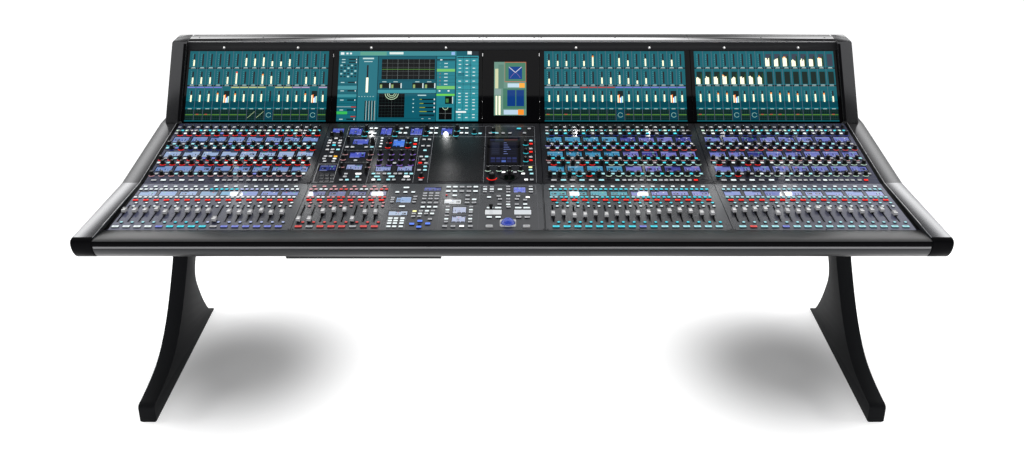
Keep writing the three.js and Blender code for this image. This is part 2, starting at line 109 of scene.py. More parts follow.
def mk(name, rgb, rough, metal=0.0, spec=0.5, grain=420.0, vary=0.12, bump=0.00003, rv=0.05,
       emit=None, power=0.0, coat=0.0, stretch=(1, 1, 1), cloud=6.0):
    """A procedural finish: fine grain and slow clouding in colour, roughness and height."""
    m = bpy.data.materials.new(name)
    m.use_nodes = True
    nt = m.node_tree
    b = nt.nodes["Principled BSDF"]
    tc = nt.nodes.new("ShaderNodeTexCoord")
    mp = nt.nodes.new("ShaderNodeMapping")
    mp.inputs["Scale"].default_value = stretch
    nt.links.new(tc.outputs["Object"], mp.inputs["Vector"])
    fine = nt.nodes.new("ShaderNodeTexNoise")
    fine.inputs["Scale"].default_value = grain
    fine.inputs["Detail"].default_value = 3.0
    slow = nt.nodes.new("ShaderNodeTexNoise")
    slow.inputs["Scale"].default_value = cloud
    slow.inputs["Detail"].default_value = 4.0
    nt.links.new(mp.outputs["Vector"], fine.inputs["Vector"])
    nt.links.new(tc.outputs["Object"], slow.inputs["Vector"])
    add = nt.nodes.new("ShaderNodeMath")
    add.operation = "MULTIPLY_ADD"
    add.inputs[1].default_value = 0.45
    nt.links.new(fine.outputs["Fac"], add.inputs[0])
    half = nt.nodes.new("ShaderNodeMath")
    half.operation = "MULTIPLY"
    half.inputs[1].default_value = 0.55
    nt.links.new(slow.outputs["Fac"], half.inputs[0])
    nt.links.new(half.outputs[0], add.inputs[2])
    mix = nt.nodes.new("ShaderNodeMix")
    mix.data_type = "RGBA"
    nt.links.new(add.outputs[0], mix.inputs["Factor"])
    mix.inputs["A"].default_value = tuple(max(0.0, c * (1 - 2 * vary)) for c in rgb) + (1,)
    mix.inputs["B"].default_value = tuple(min(1.0, c * (1 + 2 * vary)) for c in rgb) + (1,)
    nt.links.new(mix.outputs["Result"], b.inputs["Base Color"])
    mr = nt.nodes.new("ShaderNodeMapRange")
    mr.inputs["To Min"].default_value = max(0.02, rough - 2 * rv)
    mr.inputs["To Max"].default_value = min(1.0, rough + 2 * rv)
    nt.links.new(add.outputs[0], mr.inputs["Value"])
    nt.links.new(mr.outputs["Result"], b.inputs["Roughness"])
    if bump:
        bp = nt.nodes.new("ShaderNodeBump")
        bp.inputs["Strength"].default_value = 0.5
        bp.inputs["Distance"].default_value = bump
        nt.links.new(fine.outputs["Fac"], bp.inputs["Height"])
        nt.links.new(bp.outputs["Normal"], b.inputs["Normal"])
    b.inputs["Metallic"].default_value = metal
    b.inputs["Specular IOR Level"].default_value = spec
    if coat:
        b.inputs["Coat Weight"].default_value = coat
        b.inputs["Coat Roughness"].default_value = 0.08
    if emit:
        b.inputs["Emission Color"].default_value = tuple(emit) + (1,)
        b.inputs["Emission Strength"].default_value = power
        m.cycles.emission_sampling = "NONE"
    return m


_em, _key = {}, {}


def em(r, g, b, power=1.0):
    """A patch of a display's picture, behind smooth glass."""
    k = (r, g, b, power)
    if k not in _em:
        c = lin(r, g, b)
        _em[k] = mk(f"picture_{len(_em):02d}", tuple(0.08 * x + 0.002 for x in c), 0.03, spec=0.15, grain=900, vary=0.05,
                    bump=0, rv=0.004, emit=c, power=power)
    return _em[k]


def lit(r, g, b, power=0.45):
    """A translucent key or lamp lit from behind."""
    k = (r, g, b, power)
    if k not in _key:
        c = lin(r, g, b)
        _key[k] = mk(f"lit_key_{len(_key):02d}", tuple(0.55 * x for x in c), 0.5, spec=0.2, grain=700, vary=0.06,
                     emit=c, power=power, bump=0.00002)
    return _key[k]


M = {
    "leg": mk("leg_powder_coat", (0.0065, 0.0068, 0.0075), 0.42, spec=0.02, grain=900, bump=0.00006),
    "case": mk("case_black_paint", (0.009, 0.0094, 0.0105), 0.45, spec=0.22, grain=800, bump=0.00005),
    "cheek": mk("cheek_graphite_paint", (0.235, 0.237, 0.243), 0.13, metal=0.92, grain=1100, vary=0.05, bump=0.000005, rv=0.01),
    # Darker copy of the cheek metal: painted shade for the cheeks behind the knee.
    "cheek_painted_shade": mk("cheek_graphite_painted_shade", (0.062, 0.0625, 0.065), 0.15, metal=0.9, grain=1100, vary=0.05, bump=0.000005, rv=0.01),
    "cheek_dark": mk("screen_cheek_graphite", (0.06, 0.0605, 0.063), 0.22, metal=0.8, grain=1100, vary=0.05, bump=0.00001, rv=0.02),
    "rail": mk("rail_brushed_metal", (0.17, 0.17, 0.175), 0.30, metal=0.9, grain=60, stretch=(1, 30, 30), bump=0.00002),
    "nose": mk("nose_black", (0.003, 0.003, 0.0035), 0.3, spec=0.015, grain=1100, bump=0.00001),
    "roof": mk("roof_satin_metal", (0.66, 0.66, 0.67), 0.05, metal=1.0, grain=60, stretch=(1, 30, 30), bump=0, rv=0.005),
    "front": mk("front_rail_anodised", (0.024, 0.025, 0.027), 0.33, metal=0.85, grain=60, stretch=(1, 30, 30), bump=0.00002),
    "pad": mk("armrest_soft_touch", (0.006, 0.0062, 0.007), 0.36, spec=0.42, grain=1300, bump=0.00006),
    "panel": mk("panel_graphite_paint", (0.013, 0.0145, 0.020), 0.28, spec=0.5, grain=1000, bump=0.00001, rv=0.03),
    "panel_up": mk("panel_upper_paint", (0.006, 0.0065, 0.009), 0.2, spec=0.3, grain=1000, bump=0.00001, rv=0.03),
    "insert": mk("insert_gloss_panel", (0.006, 0.0062, 0.007), 0.27, spec=0.22, grain=500, bump=0.00001, rv=0.02),
    "print": mk("panel_print_grey", (0.26, 0.27, 0.29), 0.5, grain=900),
    "print_dim": mk("panel_print_dim", (0.10, 0.105, 0.115), 0.5, grain=900),
    "slot": mk("slot_black", (0.0025, 0.0025, 0.003), 0.7, spec=0.2),
    "glass": mk("display_glass", (0.0012, 0.0012, 0.0016), 0.03, spec=0.15, grain=300, bump=0, rv=0.004),
    "knob": mk("knob_black_rubber", (0.004, 0.004, 0.0045), 0.5, spec=0.14, grain=1200, bump=0.00005),
    "knob_top": mk("knob_top_dark", (0.022, 0.022, 0.024), 0.4, grain=900),
    "pointer": mk("pointer_white", (0.62, 0.62, 0.60), 0.45, grain=900),
    "cap_white": mk("cap_white", (0.88, 0.88, 0.88), 0.45, spec=0.3, grain=900, vary=0.03),
    "cap_grey": mk("cap_silver_grey", (0.30, 0.30, 0.31), 0.45, spec=0.3, grain=900, vary=0.05),
    "cap_black": mk("cap_black", (0.004, 0.004, 0.0045), 0.5, spec=0.1, grain=900),
    "cap_line": mk("cap_line_red", (0.18, 0.01, 0.012), 0.4, grain=900),
    "key_body": mk("key_body_dark", (0.02, 0.021, 0.024), 0.5, spec=0.15, grain=900),
    "key_grey": mk("key_grey", (0.46, 0.47, 0.49), 0.5, spec=0.2, grain=900),
    "key_dark": mk("key_dark", (0.03, 0.031, 0.036), 0.5, spec=0.2, grain=900),
    "key_silver": mk("key_silver", (0.55, 0.55, 0.56), 0.3, metal=0.6, grain=900),
    "ball": mk("trackball_blue", (0.030, 0.060, 0.42), 0.12, spec=0.6, grain=200, bump=0, rv=0.02, coat=0.5),
    "pcb": mk("circuit_board_green", (0.012, 0.06, 0.03), 0.5, grain=220, vary=0.2),
    "steel": mk("steel_plate", (0.36, 0.37, 0.38), 0.36, metal=0.8, grain=60, stretch=(1, 18, 18)),
    "screw": mk("screw_black", (0.02, 0.02, 0.022), 0.3, metal=0.7, grain=900),
    "rubber": mk("rubber_black", (0.008, 0.008, 0.008), 0.8, spec=0.2, grain=500, bump=0.0001),
    "lens": mk("lamp_lens", (0.9, 0.9, 0.85), 0.2, emit=(1.0, 0.97, 0.9), power=0.6),
    "gold": mk("contact_gold", (0.75, 0.55, 0.22), 0.3, metal=0.9, grain=900),
}



def paint_light_towards_ends(key, rgb):
    """A copy of a finish that turns towards another colour at the ends of the desk: painted light, a lighter bluish
    painted sheen on the panels and painted shade on the roof.
    """
    m = M[key].copy()
    m.name = M[key].name + "_outer"
    nt = m.node_tree
    b = nt.nodes["Principled BSDF"]
    tc = nt.nodes.new("ShaderNodeTexCoord")
    sx = nt.nodes.new("ShaderNodeSeparateXYZ")
    nt.links.new(tc.outputs["Object"], sx.inputs[0])
    ab = nt.nodes.new("ShaderNodeMath")
    ab.operation = "ABSOLUTE"
    nt.links.new(sx.outputs["X"], ab.inputs[0])
    mr = nt.nodes.new("ShaderNodeMapRange")
    mr.inputs["From Min"].default_value = 0.62
    mr.inputs["From Max"].default_value = 1.12
    nt.links.new(ab.outputs[0], mr.inputs["Value"])
    mix = nt.nodes.new("ShaderNodeMix")
    mix.data_type = "RGBA"
    nt.links.new(mr.outputs["Result"], mix.inputs["Factor"])
    nt.links.new(b.inputs["Base Color"].links[0].from_socket, mix.inputs["A"])
    mix.inputs["B"].default_value = tuple(rgb) + (1,)
    nt.links.new(mix.outputs["Result"], b.inputs["Base Color"])
    return m


# Painted sheen: the outer fader and channel panels turn lighter and bluish towards the ends of the desk.
M["panel_outer"] = paint_light_towards_ends("panel", (0.066, 0.072, 0.135))
# Painted shade: the roof's satin metal darkens towards the ends of the desk.
M["roof"] = paint_light_towards_ends("roof", (0.03, 0.03, 0.032))
M["panel_up_outer"] = paint_light_towards_ends("panel_up", (0.040, 0.044, 0.085))

W_, C_, B_, G_ = (222, 232, 235), (70, 205, 220), (110, 140, 235), (150, 158, 168)
KEYS = {
    "white": lit(225, 234, 236, 0.7), "wgreen": lit(205, 235, 215, 0.6), "cyan": lit(70, 205, 222, 0.7),
    "lcyan": lit(165, 222, 230, 0.6), "blue": lit(95, 130, 235, 0.7), "navy": lit(40, 52, 130, 0.7),
    "peri": lit(118, 128, 205, 0.7), "pperi": lit(178, 190, 228, 0.6), "red": lit(238, 30, 14, 0.95), "pink": lit(228, 168, 172, 0.45),
    "pinkred": lit(226, 84, 80, 0.55), "yellow": lit(240, 238, 165, 0.9), "orange": lit(245, 175, 50, 0.9),
    "violet": lit(150, 110, 215, 0.7), "bright": lit(250, 250, 250, 1.2), "green": lit(90, 210, 90, 0.8),
    "lav": lit(150, 150, 225, 0.6), "dimlav": lit(80, 80, 140, 0.5), "grey": M["key_grey"], "dark": M["key_dark"],
}


# ------------------------------------------------------------- mesh building
class Piece:
    """Collects closed solids on one local plane and becomes one mesh object."""

    def __init__(self, plane):
        self.plane, self.vs, self.fs, self.ms, self.mats, self.index = plane, [], [], [], [], {}

    def mi(self, mat):
        if mat.name not in self.index:
            self.index[mat.name] = len(self.mats)
            self.mats.append(mat)
        return self.index[mat.name]

    def put(self, pts, faces, mats):
        base = len(self.vs)
        self.vs.extend(self.plane(*p) for p in pts)
        self.fs.extend(tuple(base + i for i in f) for f in faces)
        if isinstance(mats, list):
            self.ms.extend(self.mi(m) for m in mats)
        else:
            self.ms.extend([self.mi(mats)] * len(faces))

    def loft(self, rings, mat, top=None, bottom=None):
        """Rings of equal length, stacked, each a list of (x, v, h)."""
        n = len(rings[0])
        pts = [p for r in rings for p in r]
        faces, mats = [], []
        for k in range(len(rings) - 1):
            m = mat[k] if isinstance(mat, (list, tuple)) else mat
            for i in range(n):
                j = (i + 1) % n
                faces.append((k * n + i, k * n + j, (k + 1) * n + j, (k + 1) * n + i))
                mats.append(m)
        side = mat[-1] if isinstance(mat, (list, tuple)) else mat
        faces.append(tuple(reversed(range(n))))
        mats.append(bottom or side)
        faces.append(tuple((len(rings) - 1) * n + i for i in range(n)))
        mats.append(top or side)
        self.put(pts, faces, mats)

    def slab(self, x0, x1, y0, y1, z0, z1, mat):
        self.loft([[(x0, y0, z), (x1, y0, z), (x1, y1, z), (x0, y1, z)] for z in (z0, z1)], mat)

    def key(self, x, y, w, d, z0, z1, top, r=1.2, c=0.7, body=None):
        """A key cap with rounded corners, a chamfered rim and its own top."""
        rings = []
        for z, i in ((z0, 0.0), (z1 - c, 0.0), (z1, c)):
            rings.append([(a, b, z) for a, b in rr(x - w / 2 + i, x + w / 2 - i, y - d / 2 + i, y + d / 2 - i,
                                                   max(0.2, r - i * 0.5))])
        self.loft(rings, [body or M["key_body"], top], top=top)

    def turn(self, x, y, prof, n, mat, top=None, flute=0.0, ph=0.0, lo=1, hi=-1):
        """A turned solid from (radius, height) pairs; flutes on the rings between lo and hi."""
        rings = []
        for k, (r, z) in enumerate(prof):
            ring = []
            for i in range(n):
                a = 2 * math.pi * (i + ph) / n
                q = r * (1 - flute) if flute and i % 2 and lo <= k < len(prof) + hi else r
                ring.append((x + q * math.cos(a), y + q * math.sin(a), z))
            rings.append(ring)
        self.loft(rings, mat, top=top)

    def bar(self, x, y, ang, l0, l1, w, z0, z1, mat):
        ca, sa = math.cos(ang), math.sin(ang)
        pts = [(x + u * ca - v * sa, y + u * sa + v * ca) for u, v in ((l0, -w / 2), (l1, -w / 2), (l1, w / 2), (l0, w / 2))]
        self.loft([[(a, b, z) for a, b in pts] for z in (z0, z1)], mat)

    def line(self, x0, y0, x1, y1, w, z0, z1, mat):
        self.bar(x0, y0, math.atan2(y1 - y0, x1 - x0), -w / 2, math.hypot(x1 - x0, y1 - y0) + w / 2, w, z0, z1, mat)

    def frame(self, x0, x1, y0, y1, w, z0, z1, mat):
        """A raised or printed border made as one closed ring."""
        o = [(x0, y0), (x1, y0), (x1, y1), (x0, y1)]
        i = [(x0 + w, y0 + w), (x1 - w, y0 + w), (x1 - w, y1 - w), (x0 + w, y1 - w)]
        pts = [(a, b, z) for z in (z0, z1) for ring in (o, i) for a, b in ring]
        faces = []
        for k in range(4):
            j = (k + 1) % 4
            faces += [(k, 4 + k, 4 + j, j), (8 + k, 8 + j, 12 + j, 12 + k), (k, j, 8 + j, 8 + k), (4 + k, 12 + k, 12 + j, 4 + j)]
        self.put(pts, faces, mat)

    def washer(self, x, y, rin, rout, z0, z1, mat, n=32, c=0.6, up=None):
        """A ring with a round hole; rout is a number or a function of the angle."""
        f = rout if callable(rout) else (lambda a: rout)
        pts, faces = [], []
        for i in range(n):
            a = 2 * math.pi * i / n
            ca, sa, ro = math.cos(a), math.sin(a), f(a)
            for r, z in ((rin, z0), (ro, z0), (ro, z1 - c), (ro - c, z1), (rin + c, z1), (rin, z1 - c)):
                pts.append((x + r * ca, y + r * sa, z))
        for i in range(n):
            j = (i + 1) % n
            for k in range(6):
                l = (k + 1) % 6
                faces.append((i * 6 + k, i * 6 + l, j * 6 + l, j * 6 + k))
        self.put(pts, faces, mat)

    def arc(self, x, y, r0, r1, z0, z1, a0, a1, n, mat):
        pts, faces = [], []
        for i in range(n + 1):
            a = math.radians(a0 + (a1 - a0) * i / n)
            ca, sa = math.cos(a), math.sin(a)
            for r, z in ((r0, z0), (r1, z0), (r1, z1), (r0, z1)):
                pts.append((x + r * ca, y + r * sa, z))
        for i in range(n):
            for k in range(4):
                l = (k + 1) % 4
                faces.append((i * 4 + k, i * 4 + l, (i + 1) * 4 + l, (i + 1) * 4 + k))
        faces.append((3, 2, 1, 0))
        faces.append(tuple(n * 4 + k for k in range(4)))
        self.put(pts, faces, mat)

    def across(self, pts, x0, x1, c, mats, end):
        """A (v, h) outline drawn out along x, its two ends drawn in by c."""
        n = len(pts)
        cy, cz = sum(p[0] for p in pts) / n, sum(p[1] for p in pts) / n
        ry = max(abs(p[0] - cy) for p in pts)
        rz = max(abs(p[1] - cz) for p in pts)
        small = [(cy + (a - cy) * (1 - c / ry), cz + (b - cz) * (1 - c / rz)) for a, b in pts]
        rings = [(x0, small), (x0 + c, pts), (x1 - c, pts), (x1, small)]
        vs = [(x, a, b) for x, ring in rings for a, b in ring]
        faces, ms = [], []
        for k in range(3):
            for i in range(n):
                j = (i + 1) % n
                faces.append((k * n + i, k * n + j, (k + 1) * n + j, (k + 1) * n + i))
                ms.append(mats[i] if k == 1 else end)
        faces += [tuple(reversed(range(n))), tuple(3 * n + i for i in range(n))]
        ms += [end, end]
        self.put(vs, faces, ms)

    def grid(self, x0, x1, y0, y1, holes, z0, z1, mat, side=None, under=None):
        """A sheet with rectangular openings, closed all round."""
        hs = []
        for a, b, c, d in holes:
            a, b, c, d = (round(max(x0 + 0.5, a), 1), round(min(x1 - 0.5, b), 1), round(max(y0 + 0.5, c), 1),
                          round(min(y1 - 0.5, d), 1))
            if b > a and d > c:
                hs.append((a, b, c, d))
        xs = sorted({x0, x1} | {h[0] for h in hs} | {h[1] for h in hs})
        ys = sorted({y0, y1} | {h[2] for h in hs} | {h[3] for h in hs})
        nx, ny = len(xs) - 1, len(ys) - 1
        full = [[True] * ny for _ in range(nx)]
        xi, yi = {v: i for i, v in enumerate(xs)}, {v: i for i, v in enumerate(ys)}
        for a, b, c, d in hs:
            for i in range(xi[a], xi[b]):
                for j in range(yi[c], yi[d]):
                    full[i][j] = False
        ids, pts, faces, ms = {}, [], [], []

        def vid(i, j, k):
            if (i, j, k) not in ids:
                ids[(i, j, k)] = len(pts)
                pts.append((xs[i], ys[j], z1 if k else z0))
            return ids[(i, j, k)]

        for i in range(nx):
            for j in range(ny):
                if not full[i][j]:
                    continue
                faces.append((vid(i, j, 1), vid(i + 1, j, 1), vid(i + 1, j + 1, 1), vid(i, j + 1, 1)))
                ms.append(mat)
                faces.append((vid(i, j, 0), vid(i, j + 1, 0), vid(i + 1, j + 1, 0), vid(i + 1, j, 0)))
                ms.append(under or mat)
                for di, dj, p, q in ((0, -1, (i, j), (i + 1, j)), (1, 0, (i + 1, j), (i + 1, j + 1)),
                                     (0, 1, (i + 1, j + 1), (i, j + 1)), (-1, 0, (i, j + 1), (i, j))):
                    a, b = i + di, j + dj
                    if not (0 <= a < nx and 0 <= b < ny) or not full[a][b]:
                        faces.append((vid(*p, 0), vid(*q, 0), vid(*q, 1), vid(*p, 1)))
                        ms.append(side or mat)
        self.put(pts, faces, ms)

    def screw(self, x, y, z=0.0, r=2.6, mat=None):
        m = mat or M["screw"]
        self.turn(x, y, [(r, z - 0.3), (r, z + 0.5), (r * 0.8, z + 0.9), (r * 0.45, z + 0.9), (r * 0.38, z + 0.3)], 12, m,
                  top=M["slot"])

    def make(self, name, body="desk", slot=None, replaces=(), angle=32):
        me = bpy.data.meshes.new(name)
        me.from_pydata(self.vs, [], self.fs)
        for m in self.mats:
            me.materials.append(m)
        me.polygons.foreach_set("material_index", self.ms)
        bm = bmesh.new()
        bm.from_mesh(me)
        bmesh.ops.recalc_face_normals(bm, faces=bm.faces)
        bm.to_mesh(me)
        bm.free()
        me.polygons.foreach_set("use_smooth", [True] * len(me.polygons))
        me.set_sharp_from_angle(angle=math.radians(angle))
        me.update()
        ob = bpy.data.objects.new(name, me)
        bpy.context.scene.collection.objects.link(ob)
        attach(ob, body)
        if replaces:
            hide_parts(*replaces)
        return ob


def rr(x0, x1, y0, y1, r, n=2):
    """A rounded rectangle, anticlockwise."""
    out = []
    for cx, cy, a0 in ((x1 - r, y0 + r, -90), (x1 - r, y1 - r, 0), (x0 + r, y1 - r, 90), (x0 + r, y0 + r, 180)):
        for i in range(n + 1):
            a = math.radians(a0 + 90 * i / n)
            out.append((cx + r * math.cos(a), cy + r * math.sin(a)))
    return out


def refine(node, width, mat, name=None, segs=3, sharp=28, extra=None):
    """A softened copy of a CAD node: coplanar faces merged, edges rounded."""
    src = NODES[node]
    body = src["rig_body"]
    bm = bmesh.new()
    bm.from_mesh(src.data)
    bmesh.ops.remove_doubles(bm, verts=bm.verts, dist=1e-5)
    bmesh.ops.dissolve_limit(bm, angle_limit=math.radians(0.5), verts=bm.verts, edges=bm.edges)
    edges = [e for e in bm.edges if len(e.link_faces) == 2 and e.calc_face_angle(0) > math.radians(sharp)]
    bmesh.ops.bevel(bm, geom=edges, offset=width / 1000, segments=segs, profile=0.5, affect="EDGES",
                    clamp_overlap=True)
    bmesh.ops.recalc_face_normals(bm, faces=bm.faces)
    name = name or node + "_shell"
    me = bpy.data.meshes.new(name)
    bm.to_mesh(me)
    bm.free()
    me.materials.clear()
    me.materials.append(mat)
    me.polygons.foreach_set("material_index", [0] * len(me.polygons))
    me.polygons.foreach_set("use_smooth", [True] * len(me.polygons))
    me.set_sharp_from_angle(angle=math.radians(35))
    ob = bpy.data.objects.new(name, me)
    bpy.context.scene.collection.objects.link(ob)
    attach(ob, body)
    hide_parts(node)
    return ob


def paint(node, mat):
    o = NODES[node]
    o.data.materials.clear()
    o.data.materials.append(mat)


# Upper master section, millimetres on the slope.
UP_DISPLAYS = [(-593, -554, 352, 387, 'b'), (-596, -544, 82, 122, 'n'), (-536, -494, 335, 391, 'b'),
    (-433, -396, 335, 391, 'b'), (-335, -295, 335, 391, 'b'), (-515, -464, 265, 306, 'b'), (-514, -464, 172, 212, 'b'),
    (-514, -464, 90, 126, 'l'), (-385, -346, 248, 304, 'B'), (-422, -374, 80, 116, 'l'), (-355, -308, 80, 116, 'l'),
    (-234, -196, 337, 391, 'b')]
UP_TALL = [(-480, 371, 'c'), (-379, 371, 'c'), (-280, 371, 'c'), (-450, 275, ''), (-181, 373, 'c')]
UP_KNOBS = [(-589, 330, ''), (-559, 339, ''), (-483, 333, 'c'), (-384, 333, 'c'), (-283, 336, 'c'), (-531, 298, ''),
    (-528, 200, 'p'), (-530, 163, 'p'), (-447, 200, 'p'), (-448, 163, 'p'), (-528, 113, 'p'), (-447, 113, 'p'), (-530, 81, ''),
    (-448, 81, ''), (-397, 284, 'r'), (-398, 248, 'r'), (-334, 285, 'c'), (-334, 249, 'r'), (-416, 200, 'v'), (-381, 200, 'v'),
    (-348, 200, 'v'), (-314, 200, 'v'), (-414, 163, 'v'), (-381, 163, 'v'), (-348, 163, 'v'), (-314, 163, 'v'),
    (-415, 126, 'v'), (-382, 126, 'v'), (-349, 126, 'v'), (-315, 126, 'v'), (-277, 43, 'r'), (-184, 334, 'c'),
    (-124, 351, 'c'), (-61, 362, 'c'), (44, 268, 'c'), (44, 209, 'c'), (43, 152, 'c'), (-74, 88, 'w'), (-40, 88, 'w'),
    (-7, 88, 'w'), (27, 88, 'w')]
UP_KEYS = [(-572, 306, 11, 'g'), (-589, 290, 11, 'g'), (-556, 290, 11, 'g'), (-590, 273, 11, 'g'), (-574, 273, 11, 'g'),
    (-556, 273, 11, 'g'), (-589, 225, 11, 'g'), (-572, 225, 11, 'g'), (-555, 225, 11, 'g'), (-572, 205, 11, 'g'),
    (-588, 178, 11, 'g'), (-572, 178, 11, 'g'), (-590, 161, 11, 'g'), (-586, 143, 11, 'g'), (-558, 143, 11, 'g'),
    (-556, 176, 11, 'o'), (-557, 161, 11, 'w'), (-572, 256, 11, 'c'), (-582, 56, 13, 'k'), (-566, 56, 13, 'k'),
    (-550, 56, 13, 'k'), (-579, 35, 13, 'k'), (-563, 35, 13, 'k'), (-547, 35, 13, 'k'), (-577, 17, 13, 'k'),
    (-561, 17, 13, 'k'), (-545, 17, 13, 'k'), (-466, 382, 11, 'w'), (-450, 382, 11, 'w'), (-467, 347, 11, 'w'),
    (-450, 343, 11, 'w'), (-366, 380, 11, 'w'), (-348, 387, 11, 'w'), (-367, 347, 11, 'w'), (-350, 346, 11, 'w'),
    (-266, 382, 11, 'w'), (-250, 384, 11, 'w'), (-267, 347, 11, 'w'), (-250, 346, 11, 'w'), (-528, 243, 11, 'g'),
    (-511, 243, 11, 'g'), (-467, 243, 11, 'g'), (-449, 243, 11, 'g'), (-490, 149, 11, 'g'), (-508, 59, 11, 'g'),
    (-470, 59, 18, 'W'), (-509, 41, 11, 'g'), (-471, 41, 11, 'g'), (-518, 20, 11, 'g'), (-500, 20, 11, 'g'),
    (-479, 20, 11, 'g'), (-462, 20, 11, 'g'), (-313, 303, 11, 'g'), (-312, 288, 11, 'g'), (-312, 264, 11, 'r'),
    (-312, 244, 11, 'g'), (-366, 131, 11, 'g'), (-424, 60, 11, 'g'), (-409, 60, 11, 'g'), (-390, 60, 11, 'g'),
    (-376, 60, 11, 'g'), (-357, 60, 11, 'g'), (-342, 60, 11, 'g'), (-324, 60, 11, 'g'), (-308, 60, 11, 'g'),
    (-411, 41, 18, 'g'), (-367, 41, 18, 'g'), (-321, 41, 18, 'W'), (-420, 21, 11, 'W'), (-403, 21, 11, 'g'),
    (-375, 21, 11, 'g'), (-358, 21, 11, 'g'), (-329, 21, 11, 'g'), (-313, 21, 11, 'g'), (-285, 298, 11, 'g'),
    (-268, 298, 11, 'g'), (-286, 251, 11, 'g'), (-268, 251, 11, 'g'), (-277, 219, 11, 'g'), (-286, 175, 11, 'g'),
    (-269, 175, 11, 'g'), (-277, 154, 11, 'g'), (-286, 132, 11, 'r'), (-268, 131, 11, 'g'), (-269, 107, 11, 'g'),
    (-286, 84, 11, 'g'), (-268, 84, 11, 'g'), (-277, 20, 11, 'g'), (-166, 384, 11, 'w'), (-150, 384, 11, 'w'),
    (-166, 347, 11, 'w'), (-149, 346, 11, 'w'), (-105, 343, 11, 'g'), (-71, 346, 11, 'g'), (-50, 346, 11, 'g'),
    (-29, 346, 11, 'g'), (-7, 346, 11, 'g'), (23, 380, 14, 'c'), (57, 380, 11, 'g'), (41, 347, 11, 'g'), (61, 289, 11, 'g'),
    (60, 231, 11, 'g'), (59, 173, 11, 'g'), (61, 266, 11, 'r'), (60, 208, 11, 'r'), (59, 150, 11, 'r'), (57, 102, 11, 'y'),
    (57, 85, 11, 'g'), (-26, 70, 11, 'W'), (9, 70, 11, 'g'), (34, 60, 11, 'W'), (60, 60, 11, 'g'), (43, 21, 11, 'W'),
    (60, 21, 11, 'g')]
UP_ROUND = [(-591, 252, 'g'), (-553, 252, 'g'), (-422, 308, 'w'), (-422, 288, 'w'), (-421, 267, 'w'), (-422, 246, 'w')]


# ------------------------------------------------------------- shared details
def knob(P, x, y, r, h, seed, ring=None, ring_r=None, pointer=True):
    """A fluted knob on a skirt, with its pointer and a lit half ring in front."""
    P.turn(x, y, [(r + 1.5, -0.3), (r + 1.5, 0.7), (r * 0.98, 1.5), (r * 0.93, 2.2), (r * 0.88, h - 1.0), (r * 0.74, h)], 20,
           M["knob"], top=M["knob_top"], flute=0.07, lo=3, hi=-1)
    if pointer:
        a = math.radians(-90 + random.Random(seed).uniform(-120, 120))
        P.bar(x, y, a, r * 0.12, r * 0.70, 1.0, h - 0.1, h + 0.15, M["pointer"])
    if ring:
        q = ring_r or r + 2.0
        P.arc(x, y, q, q + 1.7, -0.2, 0.9, 206, 334, 12, KEYS[ring])


def oled(P, x0, x1, y0, y1, base, seed, z=-0.6, style=0):
    """A small label display: glass, lit field, generic bars and dots."""
    q = random.Random(seed)
    w, h = x1 - x0, y1 - y0
    P.loft([[(a, b, z - 2.2) for a, b in rr(x0, x1, y0, y1, 1.0, 1)], [(a, b, z) for a, b in rr(x0, x1, y0, y1, 1.0, 1)]],
           M["glass"])
    field = em(*base, 0.74)
    pale = em(*[min(255, int(c * 0.55 + 95)) for c in base], 0.75)
    deep = em(*[int(c * 0.30) for c in base], 0.6)
    P.slab(x0 + 1.2, x1 - 1.2, y0 + 1.2, y1 - 1.2, z - 0.1, z + 0.03, field)
    if style == 9:
        P.slab(x0 + 3, x1 - 3, y0 + 3.0, y0 + 4.2, z, z + 0.06, pale)
        P.slab(x0 + 3, x1 - 3, y1 - 4.2, y1 - 3.0, z, z + 0.06, pale)
        return
    cols = 2 if style == 0 else 3
    cw = (w - 2.4) / cols
    for c in range(cols):
        a = x0 + 1.2 + c * cw
        P.slab(a + 1, a + cw - 1, y1 - 1.2 - h * 0.17, y1 - 2.2, z, z + 0.06, deep if q.random() < 0.35 else pale)
        P.slab(a + 1, a + cw - 1, y0 + 2.0, y0 + 1.2 + h * 0.16, z, z + 0.06, pale if q.random() < 0.5 else deep)
        kind = q.random()
        if kind < 0.35:
            P.slab(a + cw * 0.2, a + cw * 0.8, y0 + h * 0.32, y0 + h * 0.62, z, z + 0.06, deep)
            P.slab(a + cw * 0.28, a + cw * (0.35 + 0.35 * q.random()), y0 + h * 0.40, y0 + h * 0.52, z + 0.02, z + 0.09, pale)
        elif kind < 0.7:
            for k in range(4):
                P.slab(a + cw * (0.15 + 0.18 * k), a + cw * (0.26 + 0.18 * k), y0 + h * 0.28,
                       y0 + h * (0.34 + 0.3 * q.random()), z, z + 0.06, pale if k % 2 else deep)
        else:
            P.line(a + cw * 0.15, y0 + h * (0.3 + 0.2 * q.random()), a + cw * 0.5, y0 + h * (0.4 + 0.25 * q.random()), 0.9, z,
                   z + 0.06, pale)
            P.line(a + cw * 0.5, y0 + h * 0.5, a + cw * 0.85, y0 + h * (0.3 + 0.3 * q.random()), 0.9, z, z + 0.06, pale)
        if q.random() < 0.5:
            dot = q.choice([(230, 60, 60), (80, 220, 110), (245, 245, 245), (60, 70, 190)])
            P.slab(a + cw * 0.42, a + cw * 0.58, y0 + h * 0.70, y0 + h * 0.78, z + 0.02, z + 0.09, em(*dot, 1.0))


